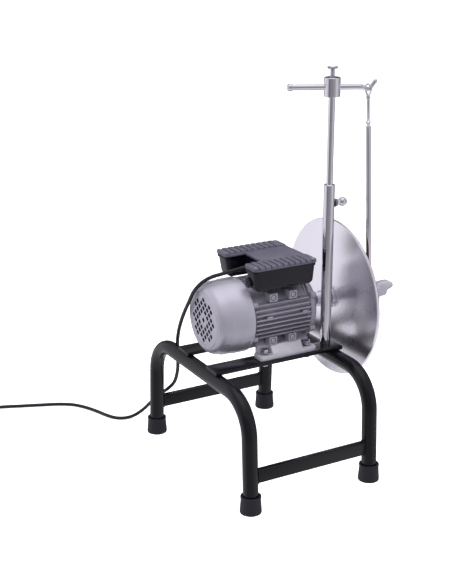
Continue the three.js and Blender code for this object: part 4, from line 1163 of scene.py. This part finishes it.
def add_crossbar():
    up = Vector((0, 0, 1))
    axis = Vector((POST.x, POST.y, BAR_Z))

    def along(reach, rise):
        return axis + BAR_DIRECTION * reach * MM + up * rise * MM

    cap = middle("crossbar_cap")
    back = -((cap - axis).length) - 0.5 * MM
    straight = [(back / MM, 0), (back / MM + 20, 0), (0, 0), (38, 0), (44, 0), (48, -0.1)]
    bend = [(52.5, -0.7), (56, -2.0), (60, -3.5), (63.5, -4), (66.3, -2.8), (68.6, -0.2), (70.7, 3),
            (73.2, 6.4), (75.6, 9.6)]
    controls = [along(*p) for p in straight + bend]
    line = curve_points(controls, 6)
    radii = []
    for p in line:
        reach = (p - axis).dot(BAR_DIRECTION) / MM
        share = min(1, max(0, (reach - 49) / 9))
        share = share * share * (3 - 2 * share)
        radii.append(BAR_R + (HOOK_R - BAR_R) * share)
    bar = tube("hooked_bar", line, radii, 32, round_ends=True)
    done(bar, "bar", "chrome", "crossbar")
    r = 6.6 * MM
    profile = [(5.2 * MM, -5.5 * MM), (r - 0.5 * MM, -5.5 * MM), (r, -4.8 * MM), (r, 1.4 * MM),
               (r - 1.2 * MM, 2.8 * MM), (0, 3 * MM), (0, 0.2 * MM), (5.2 * MM, 0.2 * MM)]
    end = axis - BAR_DIRECTION * (75.3 * MM)
    done(turned("bar_end_cap", profile, end, -BAR_DIRECTION, 40, edge=0.3 * MM), "bar", "chrome",
         "crossbar_cap")

    low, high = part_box("wing_screw")
    stem_low = low.z
    bm = bmesh.new()
    top = high.z - low.z
    turned_into(bm, [(0, 0), (3.2 * MM, 0), (3.9 * MM, 0.7 * MM), (3.9 * MM, top - 5.5 * MM),
                     (0, top - 5 * MM)], (POST.x, POST.y, stem_low), up, 32)
    level = Vector((POST.x, POST.y, high.z - 2.9 * MM))
    spots = [(-7.0, 0.0, 2.65), (-6.2, 0.0, 2.75), (-4.2, -0.7, 2.3), (0, -1.0, 2.4), (4.2, -0.7, 2.3),
             (6.2, 0.0, 2.75), (7.0, 0.0, 2.65)]
    points = curve_points([level + BAR_DIRECTION * x * MM + up * z * MM for x, z, _ in spots], 6)
    radii = []
    for k in range(len(points)):
        first = min(k // 6, len(spots) - 2)
        share = k / 6 - first
        radii.append((spots[first][2] * (1 - share) + spots[first + 1][2] * share) * MM)
    tube_into(bm, points, radii, 16, round_ends=True)
    done(obj_from("wing_bolt", bm, 45), "wing", "zinc_steel", "wing_screw")


# ---------------------------------------------------------------- pendulum and comb holder
SLEEVE_END = 18 * MM  # drops below the hook's valley
RING_DROP = 58.5 * MM
RING_MAJOR = 3.6 * MM


def pendulum_axis():
    """From the hook's valley down to the rod end."""
    end = Vector((PIVOT.x, middle("rod_end").y, PIVOT.z + 9 * MM))
    return end, (end - VALLEY).normalized()


def add_pendulum():
    end, down = pendulum_axis()
    turn_to = math.radians(30) - BAR_TURN
    base = (Vector((0, 0, -1)).rotation_difference(down)).to_matrix()
    side = base @ Vector((math.cos(turn_to), math.sin(turn_to), 0))

    def spot(across, drop):
        return VALLEY + side * across * MM + down * drop * MM

    loop = [(-1.7, 13), (-3.2, 9.6), (-5.6, 5.4), (-7.5, 1.0), (-7.3, -3.8), (-4.5, -7.1), (0, -8.2),
            (4.5, -7.1), (7.3, -3.8), (7.5, 1.0), (5.6, 5.4), (3.2, 9.6), (1.7, 13)]
    bm = bmesh.new()
    tube_into(bm, curve_points([spot(*p) for p in loop], 6), 1.7 * MM, 16, round_ends=True)
    sleeve = mm([(1.9, 0), (3.4, 0), (3.7, 0.7), (3.7, 5.6), (2.6, 7.4), (1.9, 7.4)])
    turned_into(bm, sleeve[::-1], VALLEY + down * SLEEVE_END, -down, 32, True)
    done(obj_from("wire_loop", bm, 45), "eye", "chrome", "wire_eye")

    bm = bmesh.new()
    thin = RING_DROP - SLEEVE_END - 3.4 * MM
    turned_into(bm, [(0, -4 * MM), (1.5 * MM, -4 * MM), (1.5 * MM, 0.2 * MM), (2.7 * MM, 0.3 * MM),
                     (2.7 * MM, thin - 3 * MM), (1.8 * MM, thin), (0, thin + 0.4 * MM)],
                VALLEY + down * SLEEVE_END, down, 28)
    ring = []
    for k in range(40):
        a = 2 * math.pi * k / 40
        ring.append(VALLEY + down * (RING_DROP + RING_MAJOR * math.cos(a)) +
                    base @ Vector((0, RING_MAJOR * math.sin(a), 0)))
    tube_into(bm, ring, 1.15 * MM, 12, closed=True)
    done(obj_from("ringed_rod", bm, 45), "hanger", "chrome", "hanger_rod")

    hang = (RING_DROP + RING_MAJOR) / MM
    length = (end - VALLEY).length / MM
    bm = bmesh.new()
    bail = []
    for k in range(36):
        a = 2 * math.pi * k / 36
        bail.append(VALLEY + down * (hang * MM + 2.9 * MM * math.cos(a)) +
                    base @ Vector((2.9 * MM * math.sin(a), 0, 0)))
    tube_into(bm, bail, 0.9 * MM, 10, closed=True)
    rod = [(0, hang + 3.4), (3.8, hang + 3.4), (4.8, hang + 4.6), (4.8, length - 15),
           (4.2, length - 13.5), (4.2, length), (0, length)]
    turned_into(bm, [(r * MM, (h - hang) * MM) for r, h in rod], VALLEY + down * hang * MM, down, 48)
    done(obj_from("hanging_rod", bm, 40), "pendulum", "chrome", "pendulum_rod")

    low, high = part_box("rod_end")
    y0, y1 = low.y, high.y
    eye = turned("eye", [(4.4 * MM, 0), (8.2 * MM, 0), (9 * MM, 0.8 * MM), (9 * MM, y1 - y0 - 0.8 * MM),
                         (8.2 * MM, y1 - y0), (4.4 * MM, y1 - y0)], (PIVOT.x, y0, PIVOT.z), (0, 1, 0),
                 48, closed=True)
    socket = mm([(4.9, 9), (6.0, 7), (6.6, 8.2), (6.6, 20), (6.0, 21), (4.9, 21)])
    neck = turned("neck", socket, (PIVOT.x, (y0 + y1) / 2, PIVOT.z), (0, 0, 1), 40, closed=True)
    done(joined("clevis_eye", [eye, neck]), "pendulum", "pale_casting", "rod_end")

    low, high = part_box("pivot_nut")
    bm = bmesh.new()
    hex_into(bm, (PIVOT.x, low.y, PIVOT.z), (0, 1, 0), 13 * MM, 0, high.y - low.y, 4.05 * MM)
    turned_into(bm, mm([(4.1, -0.1), (7.4, 0), (7.4, 0.25), (4.1, 0.25)]), (PIVOT.x, high.y, PIVOT.z),
                (0, 1, 0), 32, True)
    done(obj_from("lock_nut", bm), "pendulum", "zinc_steel", "pivot_nut")
    low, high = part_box("pivot_bolt")
    length = high.y - low.y
    bolt = [(0, 0), (3.4 * MM, 0), (4 * MM, 0.6 * MM), (4 * MM, length - 4.1 * MM),
            (7.2 * MM, length - 4.1 * MM), (7.6 * MM, length - 3.7 * MM), (7.6 * MM, length - 0.6 * MM),
            (7 * MM, length), (3 * MM, length), (2.8 * MM, length - 2.2 * MM), (0, length - 2.2 * MM)]
    done(turned("pivot_pin", bolt, (PIVOT.x, low.y, PIVOT.z), (0, 1, 0), 40), "pendulum", "zinc_steel",
         "pivot_bolt")


def add_holder():
    low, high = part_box("comb_holder")
    m_low, m_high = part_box("holder_magnet")
    pocket = rectangle(m_low.x - 0.3 * MM, m_high.x + 0.3 * MM, m_low.z - 0.3 * MM, m_high.z + 0.3 * MM,
                       0.8 * MM, 2)
    outline = rectangle(low.x, high.x, low.z, high.z, 9 * MM, 8)
    face_depth = 6.2 * MM
    back = plate("holder_back", outline, low.y, high.y - face_depth + 0.2 * MM, "Y",
                 [circle(PIVOT.x, PIVOT.z, 4.4 * MM, 32)], 0.7 * MM)
    pin_x = 22 * MM
    pins = [(PIVOT.x - pin_x, high.z - 8 * MM), (PIVOT.x + pin_x, high.z - 8 * MM)]
    face = plate("holder_face", outline, high.y - face_depth, high.y, "Y",
                 [pocket, circle(PIVOT.x, PIVOT.z, 8.2 * MM, 40),
                  *[circle(x, z, 2.2 * MM, 20) for x, z in pins]], 0.6 * MM)
    done(joined("holder_plate", [back, face]), "holder", "pale_casting", "comb_holder")
    magnet = block("magnet_bar", m_low, m_high, 0.6 * MM, 2)
    done(magnet, "holder", "dark_steel", "holder_magnet")
    bm = bmesh.new()
    for x, z in pins:
        turned_into(bm, mm([(0, 0), (2.1, 0), (2.1, 8.2), (1.6, 8.9), (0, 9)]),
                    (x, high.y - 6.5 * MM, z), (0, 1, 0), 24)
    done(obj_from("locating_pins", bm), "holder", "zinc_steel")

    low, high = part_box("holder_handle")
    x = (low.x + high.x) / 2
    root = high.y
    shape = [(0, 322.5), (0, 339.5), (-13, 344.6), (-28, 346.0), (-36.5, 344.2), (-39.9, 339),
             (-38.6, 334.6), (-33, 331.8), (-27.6, 329.6), (-26.4, 324.4), (-23, 321), (-16, 319.9),
             (-7, 320.6)]
    outline = curve_points([Vector((root + a * MM, b * MM, 0)) for a, b in shape[1:]], 5)
    outline = [(root, shape[0][1] * MM), *[(min(p.x, root), p.y) for p in outline]]
    grip = plate("grip", outline, low.x, high.x, "X", (), 2.4 * MM, 40)
    done(grip, "holder", "pale_casting", "holder_handle")


def add_plug():
    low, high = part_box("power_plug")
    at = Vector((middle("power_plug").x, high.y - PLUG_BODY, (low.z + high.z) / 2))
    body = [(CORD_R + 0.2 * MM, 0), (5 * MM, 0), (5.4 * MM, 6 * MM), (6 * MM, 18 * MM),
            (9 * MM, 24 * MM), (12.6 * MM, 32 * MM), (13 * MM, 36 * MM), (12.4 * MM, 40 * MM),
            (13 * MM, 44 * MM), (13 * MM, 47 * MM), (11.6 * MM, 50 * MM), (0, 50 * MM), (0, 4 * MM),
            (CORD_R + 0.2 * MM, 4 * MM)]
    plug = turned("plug_body", body, at, (0, 1, 0), 48, edge=1.0 * MM)
    for v in plug.data.vertices:
        v.co.z = at.z + (v.co.z - at.z) * (0.68 if v.co.y > at.y + 20 * MM else 0.85)
    done(plug, "stand", "cord_black", "power_plug")
    bm = bmesh.new()
    for x in (-7, 7):
        turned_into(bm, mm([(0, 0), (2.2, 0), (2.2, 18), (1.5, 19.2), (0, 19.4)]),
                    at + Vector((x * MM, 48.5 * MM, 0)), (0, 1, 0), 24)
    pins = done(obj_from("plug_pins", bm), "stand", "zinc_steel")
    return plug, pins


add_arches()
add_rails()
add_foot_caps()
add_housing()
add_end_shields()
add_fan_cover()
add_motor_feet()
add_terminal_box()
add_box_lid()
add_gland()
add_disc()
add_post()
add_head()
add_crossbar()
add_pendulum()
add_holder()
plug, plug_pins = add_plug()


# ---------------------------------------------------------------- floor, light and world
def add_floor():
    mesh = bpy.data.meshes.new("floor")
    size = 40
    mesh.from_pydata([(-size, -size, 0), (size, -size, 0), (size, size, 0), (-size, size, 0)], [],
                     [(0, 1, 2, 3)])
    floor = bpy.data.objects.new("floor", mesh)
    bpy.context.scene.collection.objects.link(floor)
    paper = bpy.data.materials.new("paper_floor")
    paper.use_nodes = True
    shader = paper.node_tree.nodes["Principled BSDF"]
    shader.inputs["Base Color"].default_value = (0.85, 0.85, 0.86, 1)
    shader.inputs["Roughness"].default_value = 0.9
    shader.inputs["Specular IOR Level"].default_value = 0.1
    shader.inputs["Emission Color"].default_value = (1, 1, 1, 1)
    shader.inputs["Emission Strength"].default_value = 0.8
    floor.data.materials.append(paper)
    floor.visible_glossy = False
    floor.visible_diffuse = False
    floor.visible_shadow = False


# What polished metal mirrors, level by level round the horizon. 0 and 1 are straight ahead of the
# camera, where a round bar's edges look, 0.5 is back at the camera, and 0.25 is to its left.
AROUND = [(0.0, 0.12), (0.07, 0.16), (0.12, 0.70), (0.22, 0.92), (0.31, 0.68), (0.37, 0.18),
          (0.43, 0.26), (0.5, 0.27), (0.58, 0.36), (0.68, 0.68), (0.78, 0.44), (0.86, 0.26),
          (0.92, 0.11), (1.0, 0.12)]
OVERHEAD = 0.56
ZENITH = 1.15
UNDERFOOT = 0.80
# Each layer: its level, the height where it begins, the height over which it fades in, up or down.
LAYERS = ((OVERHEAD, 0.38, 0.3, 1), (ZENITH, 0.82, 0.12, 1), (UNDERFOOT, 0.28, 0.4, -1))
TINT = (1, 0.98, 1.05)  # the studio's faint violet


def world_math(nodes, links, operation, first, second=None, clamp=False):
    node = nodes.new("ShaderNodeMath")
    node.operation = operation
    node.use_clamp = clamp
    for socket, value in zip(node.inputs, (first, second)):
        if isinstance(value, (int, float)):
            socket.default_value = value
        elif value is not None:
            links.new(value, socket)
    return node.outputs[0]


def add_world():
    world = bpy.data.worlds.new("studio")
    bpy.context.scene.world = world
    world.use_nodes = True
    nodes, links = world.node_tree.nodes, world.node_tree.links
    where = nodes.new("ShaderNodeTexCoord")
    split = nodes.new("ShaderNodeSeparateXYZ")
    links.new(where.outputs["Generated"], split.inputs[0])
    turn = world_math(nodes, links, "ARCTAN2", split.outputs["Y"], split.outputs["X"])
    ahead = math.atan2(math.cos(CAMERA_AZIMUTH), -math.sin(CAMERA_AZIMUTH))
    share = world_math(nodes, links, "MULTIPLY", world_math(nodes, links, "SUBTRACT", turn, ahead),
                       0.5 / math.pi)
    share = world_math(nodes, links, "FRACT", share)
    ring = nodes.new("ShaderNodeValToRGB")
    ring.color_ramp.interpolation = "EASE"
    stops = ring.color_ramp.elements
    while len(stops) < len(AROUND):
        stops.new(0.5)
    for stop, (position, level) in zip(stops, AROUND):
        stop.position = position
        stop.color = (*(level * tint for tint in TINT), 1)
    links.new(share, ring.inputs[0])
    last = ring.outputs[0]
    for level, start, width, sign in LAYERS:
        height = world_math(nodes, links, "MULTIPLY", split.outputs["Z"], sign)
        part = world_math(nodes, links, "DIVIDE", world_math(nodes, links, "SUBTRACT", height, start),
                          width, True)
        mix = nodes.new("ShaderNodeMix")
        mix.data_type = "RGBA"
        mix.inputs[7].default_value = (*(level * tint for tint in TINT), 1)
        links.new(part, mix.inputs[0])
        links.new(last, mix.inputs[6])
        last = mix.outputs[2]
    studio = nodes["Background"]
    links.new(last, studio.inputs["Color"])
    paper = nodes.new("ShaderNodeBackground")
    paper.inputs["Color"].default_value = (1, 1, 1, 1)
    seen = nodes.new("ShaderNodeLightPath")
    both = nodes.new("ShaderNodeMixShader")
    links.new(seen.outputs["Is Camera Ray"], both.inputs[0])
    links.new(studio.outputs[0], both.inputs[1])
    links.new(paper.outputs[0], both.inputs[2])
    links.new(both.outputs[0], nodes["World Output"].inputs["Surface"])


def area_light(name, at, target, width, height, power, mirrored=True):
    data = bpy.data.lights.new(name, "AREA")
    data.shape = "RECTANGLE"
    data.size = width
    data.size_y = height
    data.energy = power
    light = bpy.data.objects.new(name, data)
    bpy.context.scene.collection.objects.link(light)
    light.location = at
    light.rotation_mode = "QUATERNION"
    light.rotation_quaternion = (Vector(target) - Vector(at)).to_track_quat("-Z", "Y")
    light.visible_glossy = mirrored


def add_lights():
    target = (0, 0, 0.35)
    area_light("overhead", (-0.3, 0.4, 2.4), target, 1.8, 1.8, 38, False)
    area_light("front_box", (-1.2, -2.2, 1.2), target, 0.6, 1.6, 20, False)
    area_light("rear_box", (-1.3, 2.3, 1.1), target, 0.6, 1.6, 24, False)


add_floor()
add_world()
add_lights()
bpy.context.scene.view_settings.view_transform = "Standard"
bpy.context.scene.view_settings.look = "None"

bpy.context.view_layer.update()
